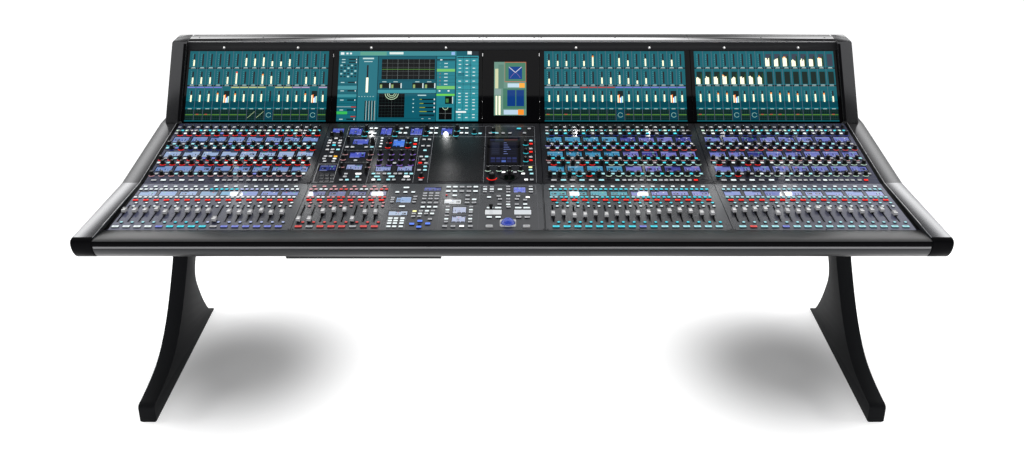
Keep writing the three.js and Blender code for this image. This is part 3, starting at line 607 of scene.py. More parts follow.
def ride_caps(name, body, xs, ys, foot, carriage, node):
    """Fader caps with their stems and the carriage under the panel."""
    P = Piece(FLAT)
    outline = [(-12, 2.0), (12, 2.0), (12, 4.4), (10.4, 11.3), (8.9, 12), (4.6, 10.9), (0.8, 10.3), (-0.8, 10.3), (-4.6, 10.9),
               (-8.9, 12), (-10.4, 11.3), (-12, 4.4)]
    k, g, w, r = M["cap_black"], M["cap_grey"], M["cap_white"], M["cap_line"]
    sides = [k, k, k, r, g, w, k, w, w, w, g, k]
    for x, y in zip(xs, ys):
        P.across([(y + a, b) for a, b in outline], x - 5.6, x + 5.6, 0.7, sides, g)
        P.slab(x - 4.6, x + 4.6, y - 0.5, y + 0.5, 10.2, 10.45, k)
        P.slab(x - 1.5, x + 1.5, y - 3, y + 3, foot, 3, M["steel"])
        for side in (-1, 1):
            P.slab(x + side * 4.6 - 0.5, x + side * 4.6 + 0.5, y - 7.5, y + 7.5, 10.0, 10.9, g)
    x0, x1, a, b, z0, z1 = carriage
    P.loft([[(u, v, z) for u, v in rr(x0 + i, x1 - i, a + i, b - i, 1.5)] for z, i in ((z0, 0.5), (z0 + 0.5, 0), (z1 - 0.5, 0), (z1, 0.5))],
           M["steel"])
    P.make(name, body, "fader_cap", (node,))


REST_1 = [120, 120, 120, 129, 108, 123, 120, 117, 117, 60, 111, 106, 106, 118, 104, 108]
REST_2 = [60, 60, 115, 123, 125, 60, 108, 109]
REST_3 = [97, 104, 85, 89, 101, 89, 99, 99, 102, 106, 110, 115, 120, 114, 103, 101]
REST_4 = [120, 123, 128, 128, 103, 116, 113, 120, 135, 128, 125, 120, 113, 120, 125, 101]
FX = {1: [-1101 + 30 * i for i in range(16)], 2: [-596 + 30 * i for i in range(8)],
      3: [116 + 30 * i for i in range(16)], 4: [631 + 30 * i for i in range(16)]}
BAYS = {1: (-1119.2, -609.8), 2: (-608.2, 92.2), 3: (93.8, 607.2), 4: (608.8, 1119.2)}

keep = [i for i in range(16) if i != 9]


def bank_caps(n, xs, ys):
    ride_caps(f"fader_caps_{n}", f"fader_bank_{n}_body", xs, ys, -27,
              (xs[0] - 7, xs[-1] + 7, min(ys) - 8, max(ys) + 8, -31, -26), f"fader_bank_{n}")


bank_caps(1, [FX[1][i] for i in keep], [REST_1[i] for i in keep])
ride_caps("fader_cap_1_10", "fader_1_10_body", [FX[1][9]], [60], -21, (FX[1][9] - 9, FX[1][9] + 9, 56, 68, -22, -18), "fader_1_10")
for i in range(8):
    x, y = FX[2][i], REST_2[i]
    ride_caps(f"fader_cap_2_{i + 1}", f"fader_2_{i + 1}_body", [x], [y], -27, (x - 9, x + 9, y - 5, y + 8, -31, -26), f"fader_2_{i + 1}")
bank_caps(3, FX[3], REST_3)
bank_caps(4, FX[4], REST_4)


# ------------------------------------------------------- fader panels, 4 bays
def wide_colour(n, i):
    if n == 1:
        return ["white"] * 4 + ["peri"] + ["cyan"] * 4 + ["grey"] + ["peri"] * 6
    if n == 2:
        return ["pinkred", "grey", "pinkred", "pinkred", "pinkred", "grey", "pinkred", "pinkred"]
    if n == 3:
        return ["cyan"] * 8 + ["peri", "cyan"] + ["lcyan"] * 6
    return ["lcyan", "pinkred", "lcyan", "lcyan", "peri"] + ["lcyan"] * 11


def small_colour(n, i, row):
    if n == 1:
        if row == "k190" and 7 <= i <= 9:
            return "cyan"
        return "white" if i < 7 or i % 3 == 0 else "pperi" if row == "k190" else "white"
    if n == 2:
        return ("pink", "pinkred", "pink", "white")[(i * 3 + len(row)) % 4]
    if n == 3:
        return "cyan" if (i * 5 + len(row)) % 4 else "lcyan"
    return "lcyan" if (i * 3 + len(row)) % 3 else "white"


def flat_display_colour(n, j):
    if n == 1:
        return [(120, 155, 205), (125, 160, 215), (140, 170, 220), (120, 160, 200), (110, 175, 215), (130, 150, 215), (125, 145, 215),
                (120, 140, 205)][j]
    if n == 2:
        return (95, 100, 155) if j < 3 else (150, 150, 185)
    if n == 3:
        return (60, 165, 185) if j < 4 else (135, 140, 215)
    return [(130, 150, 220), (140, 155, 225), (90, 105, 190), (140, 155, 225), (150, 165, 230), (130, 150, 220), (125, 150, 215),
            (135, 150, 220)][j]


def fader_bay(n):
    xs = FX[n]
    d0 = xs[0] - 5 if n != 1 else xs[0]
    x0, x1 = BAYS[n]
    holes, moving = [], []
    K, S = Piece(FLAT), Piece(FLAT)
    wides = wide_colour(n, 0)
    for i, x in enumerate(xs):
        holes.append((x - 2.2, x + 2.2, 54, 168))
        rows = [(x + 5, 301.5, 11, 9, "white" if n != 2 else "pink", "k187"), (x - 2, 280.5, 9, 9, None, "k190"),
                (x + 13, 280.5, 9, 9, None, "k190"), (x - 1, 222, 9, 8, None, "k198"), (x + 13, 222, 9, 8, None, "k198"),
                (x + 6, 201, 15, 9, "red", "red"), (x + 6, 20, 19, 11, wides[i], "wide")]
        for kx, ky, w, d, col, row in rows:
            col = col or small_colour(n, i, row)
            holes.append((kx - w / 2 - 0.4, kx + w / 2 + 0.4, ky - d / 2 - 0.4, ky + d / 2 + 0.4))
            K.key(kx, ky, w, d, -7, 3, KEYS[col])
            if row in ("wide", "red"):
                K.slab(kx - w * 0.22, kx + w * 0.22, ky - 0.8, ky + 0.8, 2.95, 3.08, M["key_dark"])
        for ky, col in ((181, None), (157, None), (48, None)):
            c = {1: "white", 2: "pink", 3: "cyan", 4: "lcyan"}[n] if ky != 157 else "white" if n != 2 else "pink"
            if n == 1 and ky == 48:
                c = "lcyan" if i < 5 else "cyan" if i < 8 else "pperi"
            if n == 2 and ky == 48:
                c = "pinkred"
            c = KEYS[c]
            S.turn(x + 14, ky, [(5.6, -0.3), (5.6, 0.8), (4.6, 1.4), (4.3, 2.4), (3.7, 2.9)], 16,
                   [M["key_body"], M["key_body"], M["key_body"], c], top=c)
        for t in range(11):
            yy, long = 60 + 10 * t, t in (0, 3, 7, 10)
            for side in (-1, 1):
                a, b = (4.2, 8.4 if long else 6.6)
                S.slab(x + (a if side > 0 else -b), x + (b if side > 0 else -a), yy - 0.3, yy + 0.3, -0.1, 0.08,
                       M["print"] if long else M["print_dim"])
        if i % 2 == 0:
            S.line(x - 9.5, 36, x - 12.5, 188, 0.5, -0.1, 0.07, M["print_dim"])
            S.line(x + 19.5, 36, x + 22.5, 188, 0.5, -0.1, 0.07, M["print_dim"])
            S.line(x - 9.5, 36, x + 19.5, 36, 0.5, -0.1, 0.07, M["print_dim"])
        for yy in (292, 211.5, 190.5):
            S.slab(x - 6, x + 17, yy - 0.25, yy + 0.25, -0.1, 0.07, M["print_dim"])
        S.frame(x - 4.2, x + 4.2, 51.5, 170.5, 0.5, -0.1, 0.10, M["slot"])
    nd = len(xs) // 2
    dp = Piece(FLAT)
    for j in range(nd):
        a = d0 + 60 * j
        holes.append((a, a + 50.5, 236, 271))
        oled(dp, a + 0.3, a + 50.2, 236.3, 270.7, flat_display_colour(n, j), 100 * n + j)
        S.frame(a - 1.2, a + 51.7, 234.8, 272.2, 1.2, -0.1, 0.35, M["glass"])
    return x0, x1, holes, K, S, dp


def finish_fader_bay(n, x0, x1, holes, K, S, dp, plates):
    P = Piece(FLAT)
    P.grid(x0, x1, 0.4, FLAT_LEN - 1, holes, -3, 0, M["panel_outer" if n in (1, 4) else "panel"], side=M["slot"])
    for a, b in ((x0 + 5, 6), (x1 - 5, 6), (x0 + 5, FLAT_LEN - 6), (x1 - 5, FLAT_LEN - 6), ((x0 + x1) / 2, 5)):
        P.screw(a, b, r=2.2)
    P.make(f"fader_panel_{n}_sheet", "desk", "panel_grey", (f"fader_panel_{n}",))
    a, b, hole_list = plates
    K.grid(a, b, 8, 320, hole_list, -8.5, -6, M["key_grey"])
    K.make(f"keys_{n}", f"key_mat_{n}_body", "key_plastic", (f"key_mat_{n}",))
    S.make(f"fader_field_{n}", "desk", "key_plastic")
    dp.make(f"channel_displays_{n}", "desk", "control_screen")


for n in (1, 3, 4):
    x0, x1, holes, K, S, dp = fader_bay(n)
    a, b = FX[n][0] - 15, FX[n][15] + 18
    finish_fader_bay(n, x0, x1, holes, K, S, dp, (a, b, [(a + 4, b - 4, 48, 176)]))

# Bay 2: eight faders, then the master keys, the trackball and its keys.
x0, x1, holes, K, S, dp = fader_bay(2)
MK = []          # x, y (as laid out), width, depth, colour


def mk2(x, y, w=12, d=9.5, col="grey"):
    MK.append((x, y - 6.5, w, d, "white" if col == "lcyan" else col))


mk2(-315, 299, 17, 10, "white")
for x in (-339, -315, -292):
    mk2(x, 265, 11.5, 10, "lcyan")
for x, y in ((-348, 224), (-348, 210), (-348, 194), (-283, 232), (-283, 213), (-284, 194)):
    mk2(x, y, 11, 9, "grey")
mk2(-316, 162, 17, 10, "lcyan")
for x in (-256, -238, -220):
    for y in (257, 239, 217, 188, 158):
        mk2(x, y, 12, 10.5, "grey" if y != 158 else "lcyan")
for x in (-341, -325, -307):
    for y in (80, 64, 47, 26):
        mk2(x, y, 12, 10.5, "lcyan")
for x, y, c in ((-277, 128, "yellow"), (-259, 130, "grey"), (-242, 130, "lcyan"), (-225, 131, "grey"), (-278, 112, "grey"),
                (-260, 112, "lcyan"), (-243, 112, "grey"), (-226, 112, "lcyan"), (-278, 93, "grey"), (-261, 93, "grey"),
                (-230, 75, "grey")):
    mk2(x, y, 11.5, 10, c)
for x, y, c in ((-278, 43, "blue"), (-234, 45, "blue"), (-257, 62, "blue"), (-257, 24, "blue"), (-257, 44, "dark")):
    mk2(x, y, 14 if c == "blue" else 9, 12 if c == "blue" else 8, c)
for x in (-189, -169, -149, -128, -108):
    for y in (305, 272):
        mk2(x, y, 13.5, 10.5, "lcyan" if (x + y) % 3 else "grey")
for x, y, c in ((-168, 240, "lcyan"), (-130, 240, "grey"), (-130, 211, "grey"), (-110, 211, "lcyan"), (-130, 189, "grey"),
                (-110, 189, "grey"), (-186, 28, "grey"), (-163, 28, "grey"), (-139, 28, "bright"), (-115, 28, "grey")):
    mk2(x, y, 13, 10.5, c)
mk2(-192, 243, 5, 4, "red")
for x in (-184, -117):
    for y in (159, 138, 121, 98, 76, 58):
        mk2(x, y, 11, 10, "lcyan" if y in (138, 76) else "grey")
for x in (-80, -60, 56):
    for y in (305, 287, 269) if x < 0 else (307, 287, 267):
        mk2(x, y, 12, 9.5, "grey" if y != 287 else "lcyan")
mk2(-36, 286, 13, 10, "lcyan")
for y in (307, 287, 267):
    mk2(-11, y, 12, 9.5, "grey")
for x, y, c in ((-67, 228, "lcyan"), (-39, 236, "grey"), (-35, 214, "grey"), (-11, 240, "lcyan"), (-11, 215, "grey"),
                (-11, 194, "grey"), (-11, 175, "lcyan"), (-10, 158, "grey"), (18, 236, "grey"), (14, 214, "grey"),
                (46, 227, "bright"), (38, 208, "grey"), (-36, 177, "grey"), (14, 177, "grey"), (38, 177, "lcyan")):
    mk2(x, y, 12, 10, c)
for x in (-63, -40, 18, 42):
    mk2(x, 152, 18.5, 9.5, "lcyan")
for x in (-64, -39, 19, 43):
    mk2(x, 88, 15, 9.5, "lcyan" if x < 0 else "grey")
for x, y, w, d, col in MK:
    holes.append((x - w / 2 - 0.5, x + w / 2 + 0.5, y - d / 2 - 0.5, y + d / 2 + 0.5))
    K.key(x, y, w, d, -7, 3, KEYS[col])
    if col in ("grey", "lcyan") and w > 9:
        K.slab(x - w * 0.18, x + w * 0.18, y - 0.7, y + 0.7, 2.95, 3.06, M["key_dark"])
for a, b, c, d, col, st in ((-338, -293, 186, 230, (140, 175, 225), 1), (-262, -211, 272, 300, (50, 70, 170), 1),
                            (-351, -296, 97, 128, (185, 205, 235), 1), (-198, -147, 177, 211, (235, 240, 245), 1),
                            (-170, -130, 112, 158, (190, 200, 230), 1), (-170, -130, 50, 95, (185, 195, 230), 1),
                            (4, 41, 260, 302, (85, 105, 225), 1), (-78, -28, 103, 139, (232, 236, 240), 9),
                            (5, 56, 103, 139, (226, 232, 238), 9)):
    holes.append((a, b, c, d))
    oled(dp, a + 0.3, b - 0.3, c + 0.3, d - 0.3, col, int(a * 3 + c), style=st)
    S.frame(a - 1.2, b + 1.2, c - 1.2, d + 1.2, 1.2, -0.1, 0.35, M["glass"])
BALL = (-11.2, 45, 20, -4)
holes.append((BALL[0] - 21.2, BALL[0] + 21.2, BALL[1] - 21.2, BALL[1] + 21.2))
S.washer(BALL[0], BALL[1], 20.7, lambda a: min(30.5, 22.6 / max(abs(math.cos(a)), abs(math.sin(a)), 1e-6)), -1.0, 1.6, M["key_grey"], n=64, c=0.5)
for nm, a, b in (("trackball_left_key", -73, -53), ("trackball_right_key", 30, 50)):
    holes.append((a - 0.8, b + 0.8, 13.2, 28.8))
    T = Piece(FLAT)
    T.key((a + b) / 2, 21, 20, 14, -7, 4, M["key_silver"], r=2.0, c=0.9, body=M["key_silver"])
    T.slab((a + b) / 2 - 5, (a + b) / 2 + 5, 20.6, 21.4, 3.95, 4.1, M["key_dark"])
    T.make(nm + "_cap", nm + "_body", "key_plastic", (nm,))
for a, b, c, d in ((-95, -94.3, 6, 322), (73.6, 74.3, 6, 322), (-365, -364.3, 6, 322), (-206, -205.3, 6, 322)):
    S.slab(a, b, c, d, -0.1, 0.12, M["print_dim"])
for a, b, y in ((-364, -265, 142), (-200, -99, 163), (-96, 71, 249), (-96, 71, 314)):
    S.slab(a, b, y - 0.35, y + 0.35, -0.1, 0.12, M["print"])
S.frame(-96, 71, 249, 314, 0.7, -0.1, 0.12, M["print"])
S.frame(-350, -298, 10, 86, 0.8, -0.1, 0.12, M["print"])
S.slab(89.4, 90.6, 2, 326, -0.1, 0.06, M["slot"])
# Black lever on its slotted plate.
S.key(-60, 141, 15, 9, -0.2, 1.2, M["key_body"], r=2)
S.loft([[(-60 + sx * w, 141 + sy * 3.2 + lean, z) for sx, sy in ((-1, -1), (1, -1), (1, 1), (-1, 1))]
        for z, w, lean in ((0.5, 4.0, 0), (6, 4.6, 0.4), (12, 5.4, 1.2), (14, 4.8, 1.5))], M["knob"])
a, b = FX[2][0] - 11, 72
finish_fader_bay(2, x0, x1, holes, K, S, dp,
                 (a, b, [(a + 2.5, FX[2][7] + 14, 48, 176), (-35, 13, 20, 71), (-77, -50, 10, 32), (27, 53, 10, 32)]))

# Trackball: a polished sphere that turns in its ring.
T = Piece(FLAT)
prof = [(max(0.05, 20 * math.cos(math.radians(e))), -4 + 20 * math.sin(math.radians(e))) for e in range(-88, 89, 8)]
T.turn(BALL[0], BALL[1], prof, 48, M["ball"])
T.make("trackball_sphere", "trackball_body", "trackball_blue", ("trackball",))


# -------------------------------------------------- channel panels of 3 bays
KN = [56, 130, 160, 233, 262, 339]
SHIFT = [0, 14, 0, 14, 0, 14]


def arc_colour(n, row, i):
    if n == 1:
        return ["pink", "red", "red", "red" if i == 1 or i >= 7 else "navy", "cyan", "red"][row]
    if row == 0:
        if n == 3:
            return [None, None, None, "cyan", "red", None][i] if i < 6 else "wgreen"
        return ["cyan", "cyan", "red", None][i] if i < 4 else "wgreen"
    if row == 1:
        return "red" if i in (0, 3, 4) else (None if i < 6 else "wgreen")
    if row == 2:
        return "pink"
    if row == 3:
        return "pinkred"
    if row == 4:
        return "lav" if n == 3 else "dimlav"
    return "navy"


def channel_key_colour(n, row, i):
    q = random.Random(n * 1000 + row * 40 + i).random()
    if n == 1:
        return "white" if q < 0.35 else "lcyan" if q < 0.6 else "peri" if q < 0.75 else "grey"
    if n == 3:
        return "cyan" if q < 0.5 else "lcyan" if q < 0.75 else "grey"
    return "lcyan" if q < 0.45 else "white" if q < 0.6 else "grey"


def slope_display_colour(n, r, j):
    if n == 1:
        return [(125, 155, 215), (165, 190, 232), (120, 148, 212)][r]
    if n == 3:
        return (65, 150, 195) if j < 4 else (120, 122, 205) if (j + r) % 3 else (70, 72, 160)
    return (45, 55, 135) if j == 2 and r else (118, 128, 208)


FRONT_KEYS = [(16, 16, "g"), (45, 16, "w"), (72, 16, "g"), (101, 16, "w"), (130, 16, "g"), (160, 16, "w"), (208, 12, "w"),
              (229, 12, "g"), (246, 12, "g"), (263, 12, "g"), (281, 12, "g"), (303, 12, "g"), (322, 12, "w"), (339, 12, "g"),
              (356, 12, "g"), (372, 12, "g"), (389, 12, "g"), (406, 12, "g"), (427, 12, "g"), (446, 12, "r")]


def channel_bay(n):
    xs = FX[n]
    d0 = xs[0] if n == 1 else xs[0] - 5
    x0, x1 = BAYS[n]
    P, E, K, O = Piece(SLOPE), Piece(SLOPE), Piece(SLOPE), Piece(SLOPE)
    holes = []
    for r, (u0, u1) in enumerate(((77, 116), (178, 217), (283, 322))):
        for j in range(8):
            a = d0 + 60 * j
            holes.append((a, a + 51, u0, u1))
            oled(O, a + 0.3, a + 50.7, u0 + 0.3, u1 - 0.3, slope_display_colour(n, r, j), 5000 * n + 50 * r + j)
            O.frame(a - 1.0, a + 52.0, u0 - 1.0, u1 + 1.0, 1.0, -0.1, 0.4, M["glass"])
    for i, x in enumerate(xs):
        for r, u in enumerate(KN):
            knob(E, x + SHIFT[r], u, 6.8, 14, n * 999 + r * 31 + i, arc_colour(n, r, i))
            kx = x + 13 - SHIFT[r]
            K.key(kx, u + 4, 10, 9.5, -0.2, 3, KEYS[channel_key_colour(n, r, i)])
            # Thin black ring around each key: painted shadow in the gap between key and panel.
            K.frame(kx - 6, kx + 6, u - 1.6, u + 9.6, 0.6, -0.1, 0.1, M["slot"])
        knob(E, x + 14, 389, 5.2, 11, n * 77 + i, None)
        K.key(x - 1, 391, 10, 9, -0.2, 3, KEYS["grey"])
        K.key(x - 1, 365, 10, 9, -0.2, 3, KEYS["wgreen" if (i + n) % 3 else "grey"])
        K.key(x + 14, 365, 10, 9, -0.2, 3, KEYS["cyan" if (i * 3 + n) % 4 else "grey"])
        for u in (146, 248, 352):
            K.slab(x - 6, x + 20, u - 0.3, u + 0.3, -0.1, 0.08, M["print_dim"])
    for off, w, c in FRONT_KEYS:
        col = {"g": "grey", "w": "white" if n != 3 else "lcyan", "r": "red" if n != 1 else "grey"}[c]
        K.key(d0 + off, 19, w, 9.5, -0.2, 3, KEYS[col])
    K.slab(x0 + 8, x1 - 8, 33.7, 34.3, -0.1, 0.1, M["print_dim"])
    P.grid(x0, x1, 1, SLOPE_LEN - 1, holes, -3, 0, M["panel_up_outer" if n != 3 else "panel_up"], side=M["slot"])
    for a, b in ((x0 + 5, 6), (x1 - 5, 6), (x0 + 5, SLOPE_LEN - 7), (x1 - 5, SLOPE_LEN - 7), (x0 + 4.5, 225), (x1 - 4.5, 225)):
        P.screw(a, b, r=2.2)
    # The circuit board that carries the encoders, under the panel.
    E.grid(xs[0] - 14, xs[-1] + 31, 10, SLOPE_LEN - 12, [], -22, -20, M["pcb"])
    for i in range(0, 16, 2):
        for u in (90, 190, 300):
            E.slab(xs[i] + 2, xs[i] + 12, u, u + 12, -20, -18.4, M["cap_black"])
        E.slab(xs[i], xs[i] + 30, 402, 408, -20, -15, M["pointer"])
    P.make(f"channel_panel_{n}_sheet", "desk", "panel_grey", (f"channel_panel_{n}",))
    E.make(f"encoders_{n}", "desk", "knob_black", (f"encoder_board_{n}",))
    K.make(f"channel_keys_{n}", "desk", "key_plastic")
    O.make(f"upper_displays_{n}", "desk", "control_screen")


for n in (1, 3, 4):
    channel_bay(n)

# ------------------------------------------------------------ bay 2, upper
JOY, MON = (-7.8, 39), (-61.4, 36)
P, E, K, O = Piece(SLOPE), Piece(SLOPE), Piece(SLOPE), Piece(SLOPE)
x0, x1 = BAYS[2]
holes = [(-255, -88, 12, 318), (-77, 24, 128, 312), (JOY[0] - 16, JOY[0] + 16, JOY[1] - 16, JOY[1] + 16),
         (MON[0] - 6, MON[0] + 6, MON[1] - 6, MON[1] + 6)]
DCOL = {"b": (78, 92, 205), "l": (150, 165, 220), "B": (70, 130, 245), "n": (48, 62, 140)}
for a, b, c, d, col in UP_DISPLAYS:
    holes.append((a, b, c, d))
    oled(O, a + 0.3, b - 0.3, c + 0.3, d - 0.3, DCOL[col], a * 7 + c, style=1 if col in "bB" else 0)
    O.frame(a - 1.3, b + 1.3, c - 1.3, d + 1.3, 1.3, -0.1, 0.5, M["glass"])
RING = {"": None, "c": "cyan", "p": "pink", "r": "red", "v": "violet", "w": "wgreen"}
for a, b, c in UP_TALL:
    knob(E, a, b, 7.5, 14, a * 3 + b, RING[c], ring_r=10.0)
    E.turn(a, b, [(5.4, 13.5), (5.2, 19), (4.6, 20)], 16, M["knob"], top=M["knob_top"])
for a, b, c in UP_KNOBS:
    knob(E, a, b, 6.3, 14, a * 5 + b, RING[c])
KC = {"g": "grey", "w": "white", "c": "cyan", "o": "orange", "k": "dark", "W": "bright", "r": "red", "y": "yellow"}
for a, b, w, c in UP_KEYS:
    w2 = min(w, 11.5) if w <= 13 else w
    col = KC[c]
    if c == "g" and (a * 3 + b) % 4 == 0:
        col = "lcyan"
    K.key(a, b, w2, 9.5, -0.2, 3.2, KEYS[col], body=M["key_silver"] if c == "k" else None)
    # Thin black ring around each key: painted shadow in the gap between key and panel.
    K.frame(a - w2 / 2 - 1, a + w2 / 2 + 1, b - 5.8, b + 5.8, 0.6, -0.1, 0.1, M["slot"])
for a, b, c in UP_ROUND:
    K.turn(a, b, [(6, -0.3), (6, 0.8), (5, 1.5), (4.7, 2.8), (4.0, 3.3)], 18, [M["key_body"]] * 3 + [KEYS[KC[c]]], top=KEYS[KC[c]])
for a, b, c, d in ((-541.4, -540.6, 6, 402), (-440.4, -439.6, 6, 321), (-300.4, -299.6, 6, 321), (-256.6, -255.8, 6, 402),
                   (-87.2, -86.4, 6, 402), (73.6, 74.4, 6, 402)):
    K.slab(a, b, c, d, -0.1, 0.12, M["print"])
K.slab(-541, 72, 401.6, 402.4, -0.1, 0.12, M["print"])
K.slab(-541, 72, 322.6, 323.4, -0.1, 0.12, M["print"])
for a, b, u in ((-536, -444, 224), (-436, -304, 228), (-536, -444, 140), (-80, 70, 118), (-604, -546, 320), (-604, -546, 130)):
    K.slab(a, b, u - 0.35, u + 0.35, -0.1, 0.12, M["print"])
K.frame(-294, -260, 124, 184, 0.6, -0.1, 0.12, M["print"])
K.frame(-602, -541, 8, 128, 1.2, -0.1, 0.3, M["key_silver"])
K.frame(-80.5, 27.5, 124.5, 315.5, 3.4, -0.2, 1.2, M["glass"])
K.washer(JOY[0], JOY[1], 19.3, lambda a: min(30, 21.5 * 1.414 / (abs(math.cos(a)) + abs(math.sin(a)))), -0.4, 1.6, M["slot"], n=48, c=0.5)
K.washer(MON[0], MON[1], 5.0, 12.8, -0.4, 0.9, M["key_body"], n=32, c=0.3)
K.arc(MON[0], MON[1], 13.2, 15.6, -0.2, 1.0, 180, 360, 20, KEYS["red"])
P.grid(x0, x1, 1, SLOPE_LEN - 1, holes, -3, 0, M["panel_up"], side=M["slot"])
for a, b in ((x0 + 5, 6), (x1 - 5, 6), (x0 + 5, SLOPE_LEN - 7), (x1 - 5, SLOPE_LEN - 7), (-298, 410), (-90, 410)):
    P.screw(a, b, r=2.2)
E.grid(-604, 76, 10, SLOPE_LEN - 12, [(JOY[0] - 22, JOY[0] + 22, 0, JOY[1] + 22), (MON[0] - 9, MON[0] + 9, MON[1] - 9, MON[1] + 9)],
       -22, -20, M["pcb"])
P.make("channel_panel_2_sheet", "desk", "panel_grey", ("channel_panel_2",))
E.make("encoders_2", "desk", "knob_black", ("encoder_board_2",))
K.make("channel_keys_2", "desk", "key_plastic")
O.make("upper_displays_2", "desk", "control_screen")

# Blank insert panel with its six screws.
I = Piece(SLOPE)
I.loft([[(a, b, z) for a, b in rr(-254.5 + i, -88.5 - i, 12.5 + i, 317.5 - i, 1.5)] for z, i in ((-3, 0), (-0.2, 0), (0.4, 0.6))],
       M["insert"])
for a in (-248, -95):
    for b in (19, 165, 311):
        I.screw(a, b, 0.4, r=3.0)
I.make("insert_panel_plate", "desk", "insert_black", ("insert_panel",))

# Touch display of the master section.
Q = Piece(SLOPE)
Q.loft([[(a, b, z) for a, b in rr(-76.5 + i, 23.5 - i, 128.5 + i, 311.5 - i, 2)] for z, i in ((-14, 0), (-1.0, 0), (-0.5, 0.5))],
       M["glass"])


def tile(P, fx0, fx1, fy0, fy1, col, z, box, power=0.9):
    """A picture element; fractions run from the left and from the top."""
    X0, X1, Y0, Y1 = box
    w, h = X1 - X0, Y1 - Y0
    P.slab(X0 + fx0 * w, X0 + fx1 * w, Y1 - fy1 * h, Y1 - fy0 * h, z - 0.12, z, em(*col, power))


cb = (-71, 18, 134, 306)
tile(Q, 0, 1, 0, 1, (12, 14, 30), -0.42, cb, 0.6)
tile(Q, 0, 0.5, 0, 0.06, (30, 36, 70), -0.37, cb, 0.7)
tile(Q, 0.5, 1, 0, 0.06, (80, 38, 30), -0.37, cb, 0.7)
tile(Q, 0.05, 0.36, 0.12, 0.66, (30, 34, 52), -0.37, cb, 0.6)
for k in range(6):
    tile(Q, 0.09, 0.32, 0.16 + 0.08 * k, 0.19 + 0.08 * k, (44, 50, 74), -0.32, cb, 0.6)
    tile(Q, 0.46, 0.94, 0.13 + 0.09 * k, 0.19 + 0.09 * k, (20, 24, 44), -0.37, cb, 0.6)
    tile(Q, 0.50, 0.60 + 0.05 * (k % 4), 0.15 + 0.09 * k, 0.17 + 0.09 * k, (120, 135, 200), -0.32, cb, 0.7)
for k in range(5):
    tile(Q, 0.05 + 0.19 * k, 0.20 + 0.19 * k, 0.76, 0.84, (48, 56, 108), -0.37, cb, 0.7)
    tile(Q, 0.05 + 0.19 * k, 0.20 + 0.19 * k, 0.88, 0.95, (36, 42, 86) if k != 2 else (90, 120, 210), -0.37, cb, 0.7)
Q.make("control_display_glass", "desk", "control_screen", ("control_display",))

# Monitor knob, joystick stick and its gimbal.
T = Piece(SLOPE)
T.turn(MON[0], MON[1], [(3, -26), (3, 1.1), (10, 1.2), (10, 2.4), (9.4, 3.2), (9.0, 15.8), (7.8, 17)], 40, M["knob"], top=M["knob_top"],
       flute=0.06, lo=4, hi=-1)
T.bar(MON[0], MON[1], math.radians(60), 2, 7.2, 1.4, 16.9, 17.2, M["pointer"])
T.make("monitor_knob_cap", "monitor_knob_body", "knob_black", ("monitor_knob",))
T = Piece(SLOPE)
T.turn(JOY[0], JOY[1], [(2.5, -18), (2.5, -2), (4.4, -1), (4.0, 2), (3.3, 3), (3.0, 10), (3.8, 12), (4.8, 14.5), (5.6, 19), (5.5, 22.5), (4.6, 24.4),
                        (3.2, 25)], 32, M["knob"], top=M["knob_top"])
T.slab(JOY[0] - 5, JOY[0] + 5, JOY[1] - 9, JOY[1] + 9, -20.5, -15.5, M["steel"])
T.make("joystick_stick", "joystick_body", "knob_black", ("joystick",))
paint("joystick_gimbal", M["steel"])

# --------------------------------------------------------------- the screens
TEAL, TEAL_HI, TEAL_LO, TRACK, CREAM = (8, 98, 110), (32, 122, 134), (2, 70, 84), (34, 20, 26), (255, 253, 214)
SEP = (95, 112, 128)


def screen_slab(name, x0, x1, node, left=9.5, right=9.5):
    P = Piece(WALL)
    y1 = WALL_LEN - 19
    P.loft([[(a, b, z) for a, b in rr(x0 + i, x1 - i, 0.4 + i, y1 - i, 1.2)] for z, i in ((-16, 0.4), (-15.6, 0), (-0.4, 0), (0, 0.4))],
           M["glass"])
    return P, (x0 + left, x1 - right, 1.4, y1 - 4.5)


